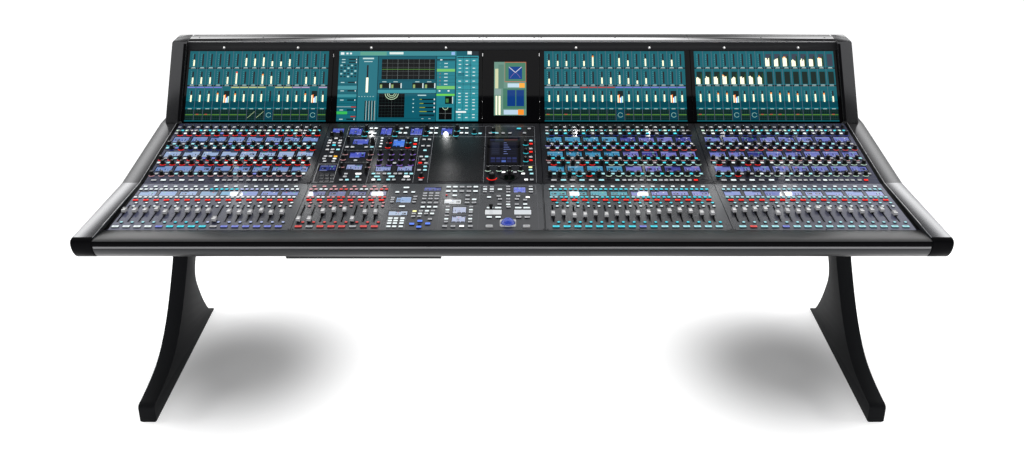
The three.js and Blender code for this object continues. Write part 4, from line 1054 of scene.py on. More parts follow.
def meters(P, box, n):
    q = random.Random(40 + n)
    tile(P, 0, 1, 0, 1, TEAL, 0.04, box)
    tile(P, 0, 1, 0.715, 0.80, TEAL_LO, 0.08, box)
    tile(P, 0, 1, 0.83, 0.985, (10, 34, 32), 0.08, box)
    tile(P, 0, 1, 0.236, 0.253, (3, 10, 15), 0.08, box)
    tile(P, 0, 1, 0.486, 0.503, (3, 10, 15), 0.08, box)
    level = {1: [[.5, 0, 0, 0, 0, 0, .65, .6, .7, .38, .35, .55, 0, 0, 0, 0], [.5, .52, .52, 0, .55, 1, 0, 0, .8, .62, 0, .65, 0, .55, .55, 0],
                 [.6, .62, .7, .8, -1, .75, .68, .68, .7, 0, .62, .62, .6, .75, -1, .62]],
             3: [[.45, .4, .4, 0, .4, .85, 0, 0, .65, .45, 0, .6, 0, .45, .5, 0], [.4, 0, 0, 0, 0, 0, .5, .5, .7, .45, .25, .45, 0, 0, 0, 0],
                 [.6, .6, .6, .6, .65, .6, .6, .6, -1, .65, .6, .65, .6, .65, -1, .6]],
             4: [[0] * 8 + [-2] * 7 + [-3], [-2] * 8 + [-4] * 8, [.7, .72, .8, .8, -1, .68, .68, .7, .85, .8, .8, .75, .65, .7, .8, .5]]}[n]
    for c in range(16):
        f0, f1 = c / 16, (c + 1) / 16
        for r, (t0, t1) in enumerate(((0.04, 0.21), (0.295, 0.465), (0.57, 0.72))):
            v = level[r][c]
            w = f1 - f0
            for k in range(7):
                y = t0 + (t1 - t0) * k / 6.5
                tile(P, f0 + w * 0.30, f0 + w * 0.38, y, y + 0.006, (110, 190, 195), 0.09, box)
            if v >= 0:
                tile(P, f0 + w * 0.46, f0 + w * 0.62, t0, t1, TRACK, 0.10, box)
                if v:
                    top = t1 - (t1 - t0) * v
                    tile(P, f0 + w * 0.45, f0 + w * 0.62, top, t1 + 0.004, CREAM, 0.14, box, 1.2)
                    if v > 0.74:
                        tile(P, f0 + w * 0.45, f0 + w * 0.62, top, top + 0.022, (255, 150, 60) if v < 0.95 else (235, 60, 40), 0.18, box, 1.2)
            elif v == -1:
                tile(P, f0 + w * 0.25, f0 + w * 0.88, t0, t1, (6, 24, 24), 0.10, box)
                for k, (col, hh) in enumerate((((255, 240, 200), .6), ((240, 120, 50), .65), ((245, 250, 255), .35), ((120, 170, 240), .45),
                                               ((190, 225, 190), .5))):
                    tile(P, f0 + w * (0.24 + 0.125 * k), f0 + w * (0.36 + 0.125 * k), t1 - (t1 - t0) * hh, t1 + 0.015, col, 0.14, box, 1.3)
            else:
                tile(P, f0 + w * 0.20, f0 + w * 0.84, t0, t1 + 0.005, (58, 66, 82) if r == 0 else (8, 34, 30), 0.10, box)
                if v == -2:
                    base = 0.55 + 0.25 * q.random()
                    for k in range(4):
                        hh = base * (1 - 0.12 * abs(k - q.choice((0, 1, 2)))) * (0.9 + 0.15 * q.random())
                        top = t1 - (t1 - t0) * hh
                        tile(P, f0 + w * (0.14 + 0.115 * k), f0 + w * (0.245 + 0.115 * k), top, t1 + 0.008, CREAM, 0.14, box, 1.4)
                        if hh > 0.66:
                            tile(P, f0 + w * (0.14 + 0.115 * k), f0 + w * (0.245 + 0.115 * k), top, top + 0.014, (255, 150, 60), 0.18, box, 1.2)
                    tile(P, f0 + w * 0.66, f0 + w * 0.80, t0 + 0.03, t1, (20, 66, 26), 0.14, box)
        for y in (0.228, 0.478, 0.815):
            tile(P, f0 + 0.018, f0 + 0.045, y + 0.004, y + 0.012, (190, 215, 215), 0.12, box)
        for y in (0.246, 0.496):
            tile(P, f0 + 0.014, f0 + 0.048, y, y + 0.006, (150, 165, 165), 0.12, box)
        lab = {1: ["v"] * 4 + [""] + ["y"] * 4 + [""] + ["y", "y", "p", "p", "", "p"], 3: ["g"] * 4 + ["r"] * 4 + ["v"] * 8,
               4: [""] * 16}[n][c]
        if lab:
            tile(P, f0 + 0.003, f1 - 0.003, 0.512, 0.528, {"v": (120, 125, 215), "y": (200, 205, 140), "p": (190, 165, 205), "g": (130, 150, 175),
                                                                     "r": (185, 72, 78)}[lab], 0.12, box)
        # the small curve display of each channel
        g0, g1 = f0 + 0.004, f1 - 0.004
        for k in range(4):
            tile(P, g0 + (g1 - g0) * (k + 0.5) / 4 - 0.0006, g0 + (g1 - g0) * (k + 0.5) / 4 + 0.0006, 0.84, 0.975, (28, 78, 74), 0.10, box)
            tile(P, g0, g1, 0.853 + 0.036 * k, 0.856 + 0.036 * k, (28, 78, 74), 0.10, box)
        odd = {1: (9, 14), 3: (8, 14), 4: (4, 6)}[n]
        X0, X1, Y0, Y1 = box
        cx, cy = X0 + (g0 + g1) / 2 * (X1 - X0), Y1 - 0.91 * (Y1 - Y0)
        if c in odd:
            tile(P, g0, g1, 0.838, 0.975, (3, 66, 84), 0.12, box)
            P.arc(cx, cy, 7.5, 8.8, 0.12, 0.2, 20, 340, 16, em(150, 200, 190, 1.0))
        elif n == 1 and c in (7, 8):
            P.line(cx - 11, cy - 10, cx + 11, cy + 12, 1.0, 0.12, 0.2, em(200, 225, 170, 1.0))
        else:
            tile(P, g0, g1, 0.902, 0.912, (96, 150, 60), 0.14, box)
            if q.random() < 0.25:
                tile(P, g0 + 0.01, g0 + 0.03, 0.896, 0.906, (190, 40, 60), 0.17, box)
    for c in range(1, 16):
        tile(P, c / 16 - 0.0013, c / 16 + 0.0013, 0.0, 0.985, SEP, 0.2, box, 0.9)


for n, x0, x1, left, right in ((1, -1108.5, -610, 9.5, 15), (3, 93.8, 607.2, 16, 19), (4, 608.8, 1108.5, 12, 11)):
    P, box = screen_slab(f"display_{n}", x0, x1, f"display_{n}", left, right)
    meters(P, box, n)
    P.make(f"display_{n}_glass", "desk", "screen_face", (f"display_{n}",))

# Centre screen: generic processing page.
P, box = screen_slab("display_2", -608.4, -101, "display_2", 19, 13)
t = lambda a, b, c, d, col, z=0.08, p=0.9: tile(P, a, b, c, d, col, z, box, p)
t(0, 1, 0, 1, (6, 92, 106), 0.04)
t(0, 0.84, 0.0, 0.065, (60, 140, 150)); t(0.15, 0.34, 0.008, 0.06, (95, 165, 145), 0.12); t(0.36, 0.46, 0.012, 0.045, (225, 240, 235), 0.12)
t(0.01, 0.035, 0.015, 0.05, (235, 245, 245), 0.12); t(0.05, 0.065, 0.02, 0.045, (235, 245, 245), 0.12); t(0.075, 0.09, 0.02, 0.045, (235, 245, 245), 0.12)
t(0.805, 0.83, 0.01, 0.055, (150, 190, 240), 0.12); t(0.92, 0.95, 0.0, 0.045, (240, 248, 248), 0.12); t(0.95, 1.0, 0.0, 0.06, (30, 44, 52), 0.12)
t(0.0, 0.135, 0.08, 0.99, (20, 104, 118)); t(0.143, 0.278, 0.08, 0.99, (36, 116, 130)); t(0.285, 0.695, 0.08, 0.99, (10, 92, 108))
t(0.703, 0.832, 0.08, 0.99, (34, 128, 142)); t(0.842, 1.0, 0.07, 0.99, (48, 148, 160))
for k, y in enumerate((0.12, 0.16, 0.45, 0.57, 0.70, 0.84, 0.97)):
    t(0.07, 0.13, y - 0.008, y + 0.008, (6, 18, 22), 0.12); t(0.02, 0.045, y - 0.006, y + 0.006, (190, 220, 220), 0.12)
    t(0.122, 0.128, y - 0.01, y + 0.01, (235, 245, 245), 0.16)
for r in range(5):
    for c in range(5):
        t(0.012 + 0.025 * c, 0.027 + 0.025 * c, 0.195 + 0.04 * r, 0.215 + 0.04 * r, (8, 50, 60) if (r + c) % 3 else (170, 215, 215), 0.12)
t(0.0, 0.135, 0.79, 0.80, (150, 175, 180), 0.12); t(0.1, 0.135, 0.79, 0.805, (190, 50, 40), 0.16); t(0.0, 0.075, 0.86, 0.90, (60, 190, 90), 0.12)
t(0.1, 0.135, 0.925, 0.94, (190, 50, 40), 0.16); t(0.0, 0.135, 0.50, 0.55, (70, 150, 160), 0.12); t(0.0, 0.135, 0.62, 0.66, (60, 145, 155), 0.12)
t(0.202, 0.213, 0.20, 0.59, TRACK, 0.12); t(0.199, 0.215, 0.38, 0.59, CREAM, 0.16, 1.4)
t(0.17, 0.25, 0.095, 0.115, (200, 225, 225), 0.12); t(0.18, 0.24, 0.145, 0.155, (200, 225, 225), 0.12)
for k in range(4):
    t(0.196 + 0.02 * k, 0.204 + 0.02 * k, 0.71, 0.985, (8, 24, 28), 0.12); t(0.205 + 0.02 * k, 0.208 + 0.02 * k, 0.71, 0.985, (200, 210, 205), 0.12)
t(0.308, 0.688, 0.115, 0.405, (3, 6, 8), 0.12)
for k in range(1, 10):
    t(0.308 + 0.038 * k, 0.3095 + 0.038 * k, 0.115, 0.405, (130, 140, 140) if k % 2 else (60, 66, 66), 0.16)
for k in range(1, 5):
    t(0.308, 0.688, 0.115 + 0.058 * k, 0.118 + 0.058 * k, (95, 102, 102), 0.16)
t(0.308, 0.688, 0.259, 0.265, (90, 150, 60), 0.2)
for a in (0.295, 0.375, 0.53, 0.615):
    t(a, a + 0.075, 0.455, 0.53, (4, 12, 14), 0.12); t(a + 0.005, a + 0.02, 0.48, 0.53, (150, 175, 110), 0.16); t(a + 0.071, a + 0.079, 0.46, 0.53, (220, 235, 235), 0.16)
    t(a + 0.02, a + 0.05, 0.435, 0.445, (190, 220, 220), 0.12)
t(0.285, 0.70, 0.555, 0.60, (60, 150, 162), 0.12); t(0.57, 0.63, 0.625, 0.64, (190, 220, 220), 0.12)
t(0.295, 0.478, 0.61, 0.945, (3, 5, 7), 0.12)
for k in range(1, 8):
    t(0.295 + 0.0229 * k, 0.2958 + 0.0229 * k, 0.61, 0.945, (40, 62, 60) if k != 4 else (110, 120, 120), 0.16)
    t(0.295, 0.478, 0.61 + 0.042 * k, 0.612 + 0.042 * k, (40, 62, 60) if k != 4 else (110, 120, 120), 0.16)
X0, X1, Y0, Y1 = box
cx, cy = X0 + 0.385 * (X1 - X0), Y1 - 0.605 * (Y1 - Y0)
for r in (8, 14, 21):
    P.arc(cx, cy, r, r + 2.2, 0.12, 0.22, 182, 358, 20, em(185, 215, 180, 1.0))
for k in range(4):
    y = 0.685 + 0.057 * k
    t(0.535, 0.545, y, y + 0.012, (190, 230, 230), 0.12); t(0.585, 0.69, y - 0.003, y + 0.014, (5, 14, 18), 0.12)
    t(0.585, 0.60 + 0.012 * k, y, y + 0.011, (150, 165, 60), 0.16); t(0.685, 0.693, y - 0.006, y + 0.017, (230, 240, 240), 0.16)
t(0.585, 0.69, 0.90, 0.93, (4, 44, 56), 0.12); t(0.60, 0.615, 0.955, 0.965, (190, 220, 220), 0.12); t(0.65, 0.665, 0.955, 0.965, (190, 220, 220), 0.12)
t(0.703, 0.832, 0.115, 0.135, (10, 44, 52), 0.12); t(0.725, 0.74, 0.118, 0.132, (240, 248, 248), 0.16)
for k, y in enumerate((0.17, 0.22, 0.32, 0.37, 0.42, 0.47)):
    t(0.755, 0.78, y, y + 0.012, (210, 235, 235), 0.12); t(0.722, 0.73, y, y + 0.01, (175, 70, 60) if k > 1 else (90, 160, 160), 0.12)
t(0.703, 0.832, 0.255, 0.295, (120, 200, 110), 0.12); t(0.703, 0.832, 0.50, 0.545, (120, 200, 110), 0.12); t(0.703, 0.832, 0.612, 0.64, (110, 215, 80), 0.12)
t(0.718, 0.73, 0.56, 0.58, (240, 248, 248), 0.12); t(0.782, 0.795, 0.56, 0.58, (240, 248, 248), 0.12)
t(0.765, 0.822, 0.645, 0.755, (6, 20, 20), 0.12); t(0.77, 0.79, 0.68, 0.735, (70, 130, 70), 0.16); t(0.815, 0.822, 0.65, 0.75, (200, 225, 225), 0.16)
t(0.722, 0.815, 0.805, 0.975, (3, 5, 7), 0.12); t(0.767, 0.769, 0.805, 0.975, (110, 120, 120), 0.16); t(0.722, 0.815, 0.886, 0.89, (110, 120, 120), 0.16)
P.arc(X0 + 0.768 * (X1 - X0), Y1 - 0.80 * (Y1 - Y0), 8, 10, 0.12, 0.22, 185, 355, 14, em(185, 215, 180, 1.0))
t(0.848, 0.995, 0.085, 0.098, (14, 40, 48), 0.12)
for r, y in enumerate((0.13, 0.185, 0.24, 0.295, 0.345, 0.425, 0.515, 0.60, 0.645, 0.69, 0.73, 0.775, 0.825, 0.90, 0.94)):
    for c in range(3):
        if (r * 3 + c) % 7 != 5:
            t(0.858 + 0.05 * c, 0.876 + 0.05 * c, y, y + 0.012, (222, 242, 242), 0.12)
for y in (0.37, 0.385, 0.46, 0.475, 0.55):
    t(0.842, 1.0, y, y + 0.006, (20, 90, 104), 0.12)
t(0.843, 0.915, 0.855, 0.88, (245, 250, 250), 0.16); t(0.90, 0.95, 0.18, 0.22, (34, 124, 138), 0.1); t(0.85, 0.90, 0.31, 0.36, (30, 118, 132), 0.1)
for a in (0.1375, 0.2805, 0.6985, 0.8360):
    t(a, a + 0.0035, 0.07, 1.0, (3, 30, 38), 0.13)
for y in (0.10, 0.138, 0.185, 0.43, 0.478, 0.555, 0.60, 0.675, 0.745, 0.82, 0.905, 0.955):
    t(0.0, 0.1375, y, y + 0.003, (3, 48, 58), 0.14)
for y in (0.10, 0.155, 0.21, 0.268, 0.32, 0.40, 0.49, 0.575, 0.62, 0.665, 0.71, 0.752, 0.80, 0.885, 0.925):
    t(0.842, 1.0, y, y + 0.003, (14, 84, 98), 0.11)
for a in (0.890, 0.942):
    t(a, a + 0.0025, 0.07, 1.0, (14, 84, 98), 0.11)
for y in (0.07, 0.425, 0.54, 0.603, 0.955):
    t(0.284, 0.6985, y, y + 0.0035, (3, 40, 50), 0.13)
for y in (0.145, 0.30, 0.35, 0.40, 0.45, 0.55, 0.60, 0.77):
    t(0.702, 0.836, y, y + 0.003, (10, 78, 92), 0.11)
for k in range(6):
    t(0.150 + 0.02 * k, 0.158 + 0.02 * k, 0.645, 0.655, (170, 205, 205), 0.12)
P.make("display_2_glass", "desk", "screen_face", ("display_2",))

# Small upright screen.
P, box = screen_slab("display_small", -99.4, 92.2, "display_small")
X0, X1, Y0, Y1 = box
w, h = X1 - X0, Y1 - Y0
sb = (X0 + 0.17 * w, X0 + 0.80 * w, Y0 + 0.085 * h, Y0 + 0.845 * h)
t = lambda a, b, c, d, col, z=0.08, p=0.9: tile(P, a, b, c, d, col, z, sb, p)
t(0, 1, 0, 1, (110, 150, 135), 0.04)
t(0.34, 0.98, 0.01, 0.36, (75, 130, 105)); t(0.33, 0.34, 0.0, 0.38, (190, 110, 80), 0.12); t(0.33, 1.0, 0.0, 0.012, (190, 110, 80), 0.12)
t(0.33, 1.0, 0.368, 0.38, (190, 110, 80), 0.12); t(0.985, 1.0, 0.0, 0.38, (190, 110, 80), 0.12)
t(0.45, 0.87, 0.09, 0.325, (8, 66, 140), 0.12)
X0, X1, Y0, Y1 = sb
w, h = X1 - X0, Y1 - Y0
for a, b, c, d in ((0.47, 0.10, 0.66, 0.20), (0.66, 0.20, 0.85, 0.10)):
    P.line(X0 + a * w, Y1 - b * h, X0 + c * w, Y1 - d * h, 2.2, 0.14, 0.2, em(215, 215, 225, 1.0))
for a, b, c, d in ((0.50, 0.30, 0.64, 0.20), (0.68, 0.20, 0.82, 0.30)):
    P.line(X0 + a * w, Y1 - b * h, X0 + c * w, Y1 - d * h, 1.0, 0.14, 0.2, em(150, 110, 170, 1.0))
t(0.03, 0.13, 0.13, 0.50, (205, 210, 170), 0.12, 1.0); t(0.13, 0.30, 0.05, 0.50, (95, 135, 120), 0.12)
t(0.42, 0.78, 0.405, 0.48, (190, 215, 230), 0.12, 1.0); t(0.78, 0.95, 0.40, 0.485, (245, 165, 60), 0.12, 1.1)
t(0.28, 0.98, 0.50, 0.88, (70, 125, 105)); t(0.41, 0.66, 0.53, 0.83, (10, 60, 130), 0.12); t(0.69, 0.93, 0.53, 0.83, (10, 60, 130), 0.12)
t(0.05, 0.10, 0.64, 0.99, CREAM, 0.12, 1.2); t(0.14, 0.20, 0.64, 0.99, CREAM, 0.12, 1.2); t(0.02, 0.22, 0.51, 0.62, (140, 165, 160), 0.12)
t(0.30, 0.74, 0.90, 0.985, (185, 210, 230), 0.12, 1.0); t(0.74, 0.92, 0.895, 0.99, (245, 140, 40), 0.12, 1.1)
P.make("display_small_glass", "desk", "screen_face", ("display_small",))

# ------------------------------------------------------- casing, legs, rails
refine("left_leg", 5, M["leg"], "left_leg_casting")
refine("right_leg", 5, M["leg"], "right_leg_casting")
refine("left_floor_strip", 0.8, M["rubber"], "left_floor_strip_rubber")
refine("right_floor_strip", 0.8, M["rubber"], "right_floor_strip_rubber")
refine("cross_beam", 0.8, M["case"], "cross_beam_channel")
refine("left_cheek", 3.5, M["cheek"], "left_cheek_panel")
refine("right_cheek", 3.5, M["cheek"], "right_cheek_panel")
refine("left_screen_cheek", 2.5, M["cheek_dark"], "left_screen_cheek_panel")
refine("right_screen_cheek", 2.5, M["cheek_dark"], "right_screen_cheek_panel")
refine("armrest", 1.2, M["pad"], "armrest_pad")
refine("front_rail", 0.8, M["front"], "front_rail_section")
refine("base_pan", 0.8, M["case"], "base_pan_tray")
refine("top_rail", 0.5, M["case"], "top_rail_section")
refine("rear_cover", 0.7, M["case"], "rear_cover_sheet")
refine("drawer_frame", 0.5, M["case"], "drawer_frame_rails")
refine("keyboard_drawer", 1.6, M["case"], "keyboard_drawer_shell")
paint("processor_board", M["pcb"])
paint("power_supply", M["steel"])

# The cheeks' tops are graphite metal; behind the knee they take a darker copy of it, painted shade. Noses, sides and
# undersides are black.
for nm in ("left_cheek_panel", "right_cheek_panel"):
    me = bpy.data.objects[nm].data
    me.materials.append(M["nose"])
    me.materials.append(M["cheek_painted_shade"])
    me.materials.append(M["case"])
    for p in me.polygons:
        depth = p.center.y * 1000 + HALF_DEPTH
        if depth < 19.5:
            p.material_index = 1
        elif p.normal.z < 0.5:
            p.material_index = 3
        elif depth > 428:
            p.material_index = 2

# So is the rounded front of the armrest: its black here is painted shade for the dark reflection along the curve.
me = bpy.data.objects["armrest_pad"].data
me.materials.append(M["nose"])
for p in me.polygons:
    if p.center.y * 1000 + HALF_DEPTH < 6.5:
        p.material_index = 1

# The roof's upper faces are bright satin metal, with painted shade towards the ends; the lamp strip stays black.
me = bpy.data.objects["top_rail_section"].data
me.materials.append(M["roof"])
for p in me.polygons:
    if p.normal.z > 0.9:
        p.material_index = 1

# Black strips along the outer edges of the panels and the screens.
for s in (-1, 1):
    G = Piece(Plane(848, 750.3, math.atan2(224.1, 186)))
    xa, xb = sorted((s * 1110.3, s * 1119.6))
    G.loft([[(a, b, z) for a, b in rr(xa + i, xb - i, 6 + i, 288 - i, 0.8)] for z, i in ((-0.2, 0), (0.5, 0), (0.8, 0.4))], M["nose"])
    G.make(f"screen_edge_strip_{'left' if s < 0 else 'right'}", "desk", "case_black")

for s in (-1, 1):
    for nm, plane, ln in (("flat", FLAT, FLAT_LEN), ("slope", SLOPE, SLOPE_LEN)):
        G = Piece(plane)
        xa, xb = sorted((s * 1110.5, s * 1119.0))
        G.loft([[(a, b, z) for a, b in rr(xa + i, xb - i, 1.5 + i, ln - 2.0 - i, 0.8)] for z, i in ((-0.2, 0), (0.7, 0), (1.1, 0.4))], M["nose"])
        G.make(f"edge_strip_{nm}_{'left' if s < 0 else 'right'}", "desk", "case_black")

# Narrow light lines, painted highlights: inner edges of the cheeks, armrest joint, roof edge.
L = Piece(ROOT)
for side in (-1, 1):
    a = side * 1118.9
    for k in range(2):
        (d0, z0), (d1, z1) = (((102, 713.6), (428, 706.9)), ((428, 706.9), (850, 750.3)))[k]
        x0, x1 = sorted((side * 1121.2, side * 1122.6))
        L.loft([[(x0, d0, z0 - 1.2), (x1, d0, z0 - 1.2), (x1, d0, z0 + 0.35), (x0, d0, z0 + 0.35)],
                [(x0, d1, z1 - 1.2), (x1, d1, z1 - 1.2), (x1, d1, z1 + 0.35), (x0, d1, z1 + 0.35)]], M["key_silver"])
L.make("cheek_edge_highlight_lines", "desk", "rail_silver")

# Bright bead along the joint of the armrest and the front rail: a painted highlight for the rail's lit top edge.
J = Piece(ROOT)
J.loft([[(x, a, z) for a, z in ((0.5, 696.6), (1.4, 697.0), (4.6, 692.8), (4.2, 690.4), (2.4, 690.6), (0.6, 693.4))] for x in (-1117, 1117)], M["rail"])
J.make("front_highlight_bead", "desk", "rail_silver")

# Rail strip over the screens: eight small lamps, screws, a bright lip that paints the highlight on the roof edge.
LAMPS = [-985, -732, -481, -226, 219, 470, 726, 979]
R = Piece(WALL)
w0 = WALL_LEN - 10.5
for x in LAMPS:
    R.turn(x, w0, [(4.4, -0.6), (4.4, 0.5), (3.6, 1.0), (3.3, 3.4), (2.7, 4.2)], 24, M["key_silver"])
    R.turn(x, w0, [(2.2, 4.0), (2.2, 4.5), (1.6, 5.0), (0.6, 5.2)], 20, M["lens"])
R.make("lamp_heads", "desk", "rail_silver")
R = Piece(ROOT)
for x in (-1080, -860, -624, -597, -356, -112, -88, 77, 101, 356, 597, 624, 860, 1080):
    R.turn(x, 1090, [(3.4, 977.0), (3.4, 978.0), (2.4, 978.4), (1.3, 978.4), (1.1, 977.9)], 14, M["screw"])
# Bright lip: painted highlight along the roof edge.
R.slab(-1108, 1108, 1049.5, 1053.0, 973.6, 974.9, M["key_silver"])
for x in (-609, -100, 93, 608):
    R.slab(x - 0.5, x + 0.5, 1060, 1136, 977.9, 978.15, M["slot"])
R.slab(-1108, 1108, 1098, 1106, 977.9, 978.2, M["slot"])
R.slab(-1108, 1108, 1124, 1127, 977.9, 978.2, M["slot"])
R.make("roof_screws_and_lip", "desk", "rail_silver")

# Screws on the outer faces of the cheeks and legs.
S = Piece(lambda x, v, h: (x / 1000, (v - HALF_DEPTH) / 1000, h / 1000))


def side_disc(P, xs, d, z, r, t, mat, top):
    """A turned head on a face that looks along X."""
    sgn = 1 if xs > 0 else -1
    rings = []
    for rad, off in ((r, -0.4), (r, t * 0.5), (r * 0.8, t), (r * 0.5, t), (r * 0.42, t * 0.4)):
        rings.append([(xs + sgn * off, d + rad * math.cos(2 * math.pi * i / 16), z + rad * math.sin(2 * math.pi * i / 16)) for i in range(16)])
    P.loft(rings, mat, top=top)


for s in (-1, 1):
    for d, z in ((60, 672), (200, 672), (420, 672), (640, 680), (840, 690), (1060, 712)):
        side_disc(S, s * 1176.6, d, z, 5.0, 1.0, M["screw"], M["slot"])
    for d, z in ((960, 790), (1100, 790), (1100, 950)):
        side_disc(S, s * 1159.6, d, z, 4.0, 1.0, M["screw"], M["slot"])
    for d, z in ((700, 620), (800, 600), (900, 620)):
        side_disc(S, s * 1149.6, d, z, 6.0, 1.2, M["screw"], M["slot"])
S.make("side_screws", "desk", "steel_plate")

# Connector plate at the back: round sockets, data sockets, a mains inlet.
B = Piece(Back(1093.5))
B.loft([[(a, b, z) for a, b in rr(-1060 + i, 1060 - i, 685.5 + i, 745 - i, 2)] for z, i in ((-3.4, 0.3), (-3.1, 0), (-0.4, 0), (0, 0.4))], M["steel"])
for i in range(16):
    x, z = 1000 - 92 * i, 716
    B.loft([[(a, b, h) for a, b in rr(x - 13 + k, x + 13 - k, z - 15.5 + k, z + 15.5 - k, 3)] for h, k in ((-0.3, 0), (1.2, 0), (1.7, 0.5))], M["case"])
    B.washer(x, z, 8.0, 10.8, 1.0, 5.6, M["case"], n=32, c=0.6)
    B.turn(x, z, [(7.8, 1.0), (7.8, 2.0), (7.4, 2.1)], 24, M["slot"])
    for k in range(3):
        a = math.radians(90 + 120 * k)
        B.turn(x + 4 * math.cos(a), z + 4 * math.sin(a), [(1.1, 1.5), (1.1, 4.2), (0.6, 4.9)], 10, M["gold"])
    for sx, sy in ((-1, 1), (1, -1)):
        B.turn(x + sx * 10.2, z + sy * 12.6, [(1.9, 1.4), (1.9, 2.3), (1.2, 2.7), (0.5, 2.4)], 10, M["screw"])
for i in range(4):
    x = -(530 + 60 * i)
    for k in (-1, 1):
        cx = x + k * 9.4
        B.frame(cx - 8.4, cx + 8.4, 708, 724, 1.2, -0.3, 5.0, M["key_silver"])
        B.slab(cx - 7.2, cx + 7.2, 709.2, 722.8, -0.2, 0.6, M["slot"])
        for c in range(8):
            B.slab(cx - 5.2 + 1.4 * c, cx - 4.6 + 1.4 * c, 718.5, 722.4, 0.5, 3.2, M["gold"])
        B.slab(cx - 5.5, cx - 2.5, 705.0, 706.6, -0.2, 0.9, KEYS["green"])
x = -910
B.frame(x - 22, x + 22, 700, 732, 9.0, -0.3, 4.2, M["case"])
B.slab(x - 14, x + 14, 708, 724, -0.2, 0.4, M["slot"])
for k in (-1, 0, 1):
    B.slab(x + 7 * k - 1.0, x + 7 * k + 1.0, 713 + 3 * (k == 0), 719 + 3 * (k == 0), 0.3, 4.0, M["key_silver"])
B.loft([[(a, b, h) for a, b in rr(-956 + i, -936 - i, 704 + i, 728 - i, 2)] for h, i in ((-0.3, 0), (2.6, 0), (3.2, 0.6))], M["case"])
B.slab(-951, -941, 708, 724, 3.0, 4.6, M["knob_top"])
for x in [-1050, -700, -350, 0, 350, 700, 1050]:
    for z in (689.5, 741.5):
        B.turn(x, z, [(2.6, -0.3), (2.6, 0.7), (1.9, 1.2), (1.0, 1.2), (0.8, 0.5)], 12, M["screw"])
B.make("connector_plate", "desk", "steel_plate", ("connector_panel",))
B = Piece(Back(1134.5))
for x in [-1085, -850, -610, -365, -120, 120, 365, 610, 850, 1085]:
    for z in (752, 966):
        B.turn(x, z, [(3.0, -0.3), (3.0, 0.9), (2.2, 1.5), (1.1, 1.5), (0.9, 0.7)], 12, M["screw"])
for i in range(12):
    xa, xb = 840 - i * 160, 930 - i * 160
    B.frame(xa - 3, xb + 3, 897, 915, 2.0, -0.3, 0.8, M["case"])
for x in (-608, -100, 94, 608):
    B.slab(x - 0.6, x + 0.6, 748, 971, -0.2, 0.12, M["slot"])
B.make("rear_cover_fasteners", "desk", "case_black")

# ------------------------------------------------------------ stage and light
fl = bpy.data.materials.new("studio_floor")
fl.use_nodes = True
nt = fl.node_tree
b = nt.nodes["Principled BSDF"]
b.inputs["Base Color"].default_value = (0.62, 0.62, 0.62, 1)
b.inputs["Roughness"].default_value = 0.75
b.inputs["Specular IOR Level"].default_value = 0.1
b.inputs["Emission Color"].default_value = (1, 1, 1, 1)
# The floor glows, except in two pools beside the legs where the glow fades: painted shadows of the legs.
tc = nt.nodes.new("ShaderNodeTexCoord")
mp = nt.nodes.new("ShaderNodeMapping")
mp.inputs["Scale"].default_value = (1 / 0.38, 1 / 0.44, 0)
nt.links.new(tc.outputs["Object"], mp.inputs["Vector"])
away = []
for s in (-1, 1):
    far = nt.nodes.new("ShaderNodeVectorMath")
    far.operation = "DISTANCE"
    nt.links.new(mp.outputs["Vector"], far.inputs[0])
    far.inputs[1].default_value = (s * 0.90 / 0.38, -0.05 / 0.44, 0)
    away.append(far.outputs["Value"])
near = nt.nodes.new("ShaderNodeMath")
near.operation = "MINIMUM"
for i in (0, 1):
    nt.links.new(away[i], near.inputs[i])
floor_glow_with_painted_shadow = nt.nodes.new("ShaderNodeMapRange")
floor_glow_with_painted_shadow.interpolation_type = "SMOOTHSTEP"
floor_glow_with_painted_shadow.inputs["From Min"].default_value = 0.2
floor_glow_with_painted_shadow.inputs["From Max"].default_value = 1.3
floor_glow_with_painted_shadow.inputs["To Min"].default_value = 0.03
floor_glow_with_painted_shadow.inputs["To Max"].default_value = 0.80
nt.links.new(near.outputs[0], floor_glow_with_painted_shadow.inputs["Value"])
nt.links.new(floor_glow_with_painted_shadow.outputs["Result"], b.inputs["Emission Strength"])
me = bpy.data.meshes.new("floor")
me.from_pydata([(-30, -30, 0), (30, -30, 0), (30, 30, 0), (-30, 30, 0)], [], [(0, 1, 2, 3)])
me.materials.append(fl)
floor = bpy.data.objects.new("floor", me)
bpy.context.scene.collection.objects.link(floor)

world = bpy.data.worlds.new("studio")
bpy.context.scene.world = world
world.use_nodes = True
nt = world.node_tree
bg = nt.nodes["Background"]
tc = nt.nodes.new("ShaderNodeTexCoord")
sep = nt.nodes.new("ShaderNodeSeparateXYZ")
nt.links.new(tc.outputs["Generated"], sep.inputs[0])
mr = nt.nodes.new("ShaderNodeMapRange")
mr.inputs["From Min"].default_value = -1.0
mr.inputs["From Max"].default_value = 1.0
nt.links.new(sep.outputs["Z"], mr.inputs["Value"])
cr = nt.nodes.new("ShaderNodeValToRGB")
nt.links.new(mr.outputs["Result"], cr.inputs["Fac"])
e = cr.color_ramp.elements
e[0].position, e[0].color = 0.0, (1, 1, 1, 1)
e[1].position, e[1].color = 1.0, (0.10, 0.10, 0.105, 1)
k = e.new(0.71); k.color = (1, 1, 1, 1)
k = e.new(0.755); k.color = (0.10, 0.10, 0.105, 1)
nt.links.new(cr.outputs["Color"], bg.inputs["Color"])


def ramp(src, a, b, lo, hi):
    n = nt.nodes.new("ShaderNodeMapRange")
    n.interpolation_type = "SMOOTHSTEP"
    for key, v in (("From Min", a), ("From Max", b), ("To Min", lo), ("To Max", hi)):
        n.inputs[key].default_value = v
    nt.links.new(src, n.inputs["Value"])
    return n.outputs["Result"]


def calc(op, a, b):
    n = nt.nodes.new("ShaderNodeMath")
    n.operation = op
    for i, v in enumerate((a, b)):
        if isinstance(v, float):
            n.inputs[i].default_value = v
        else:
            nt.links.new(v, n.inputs[i])
    return n.outputs[0]


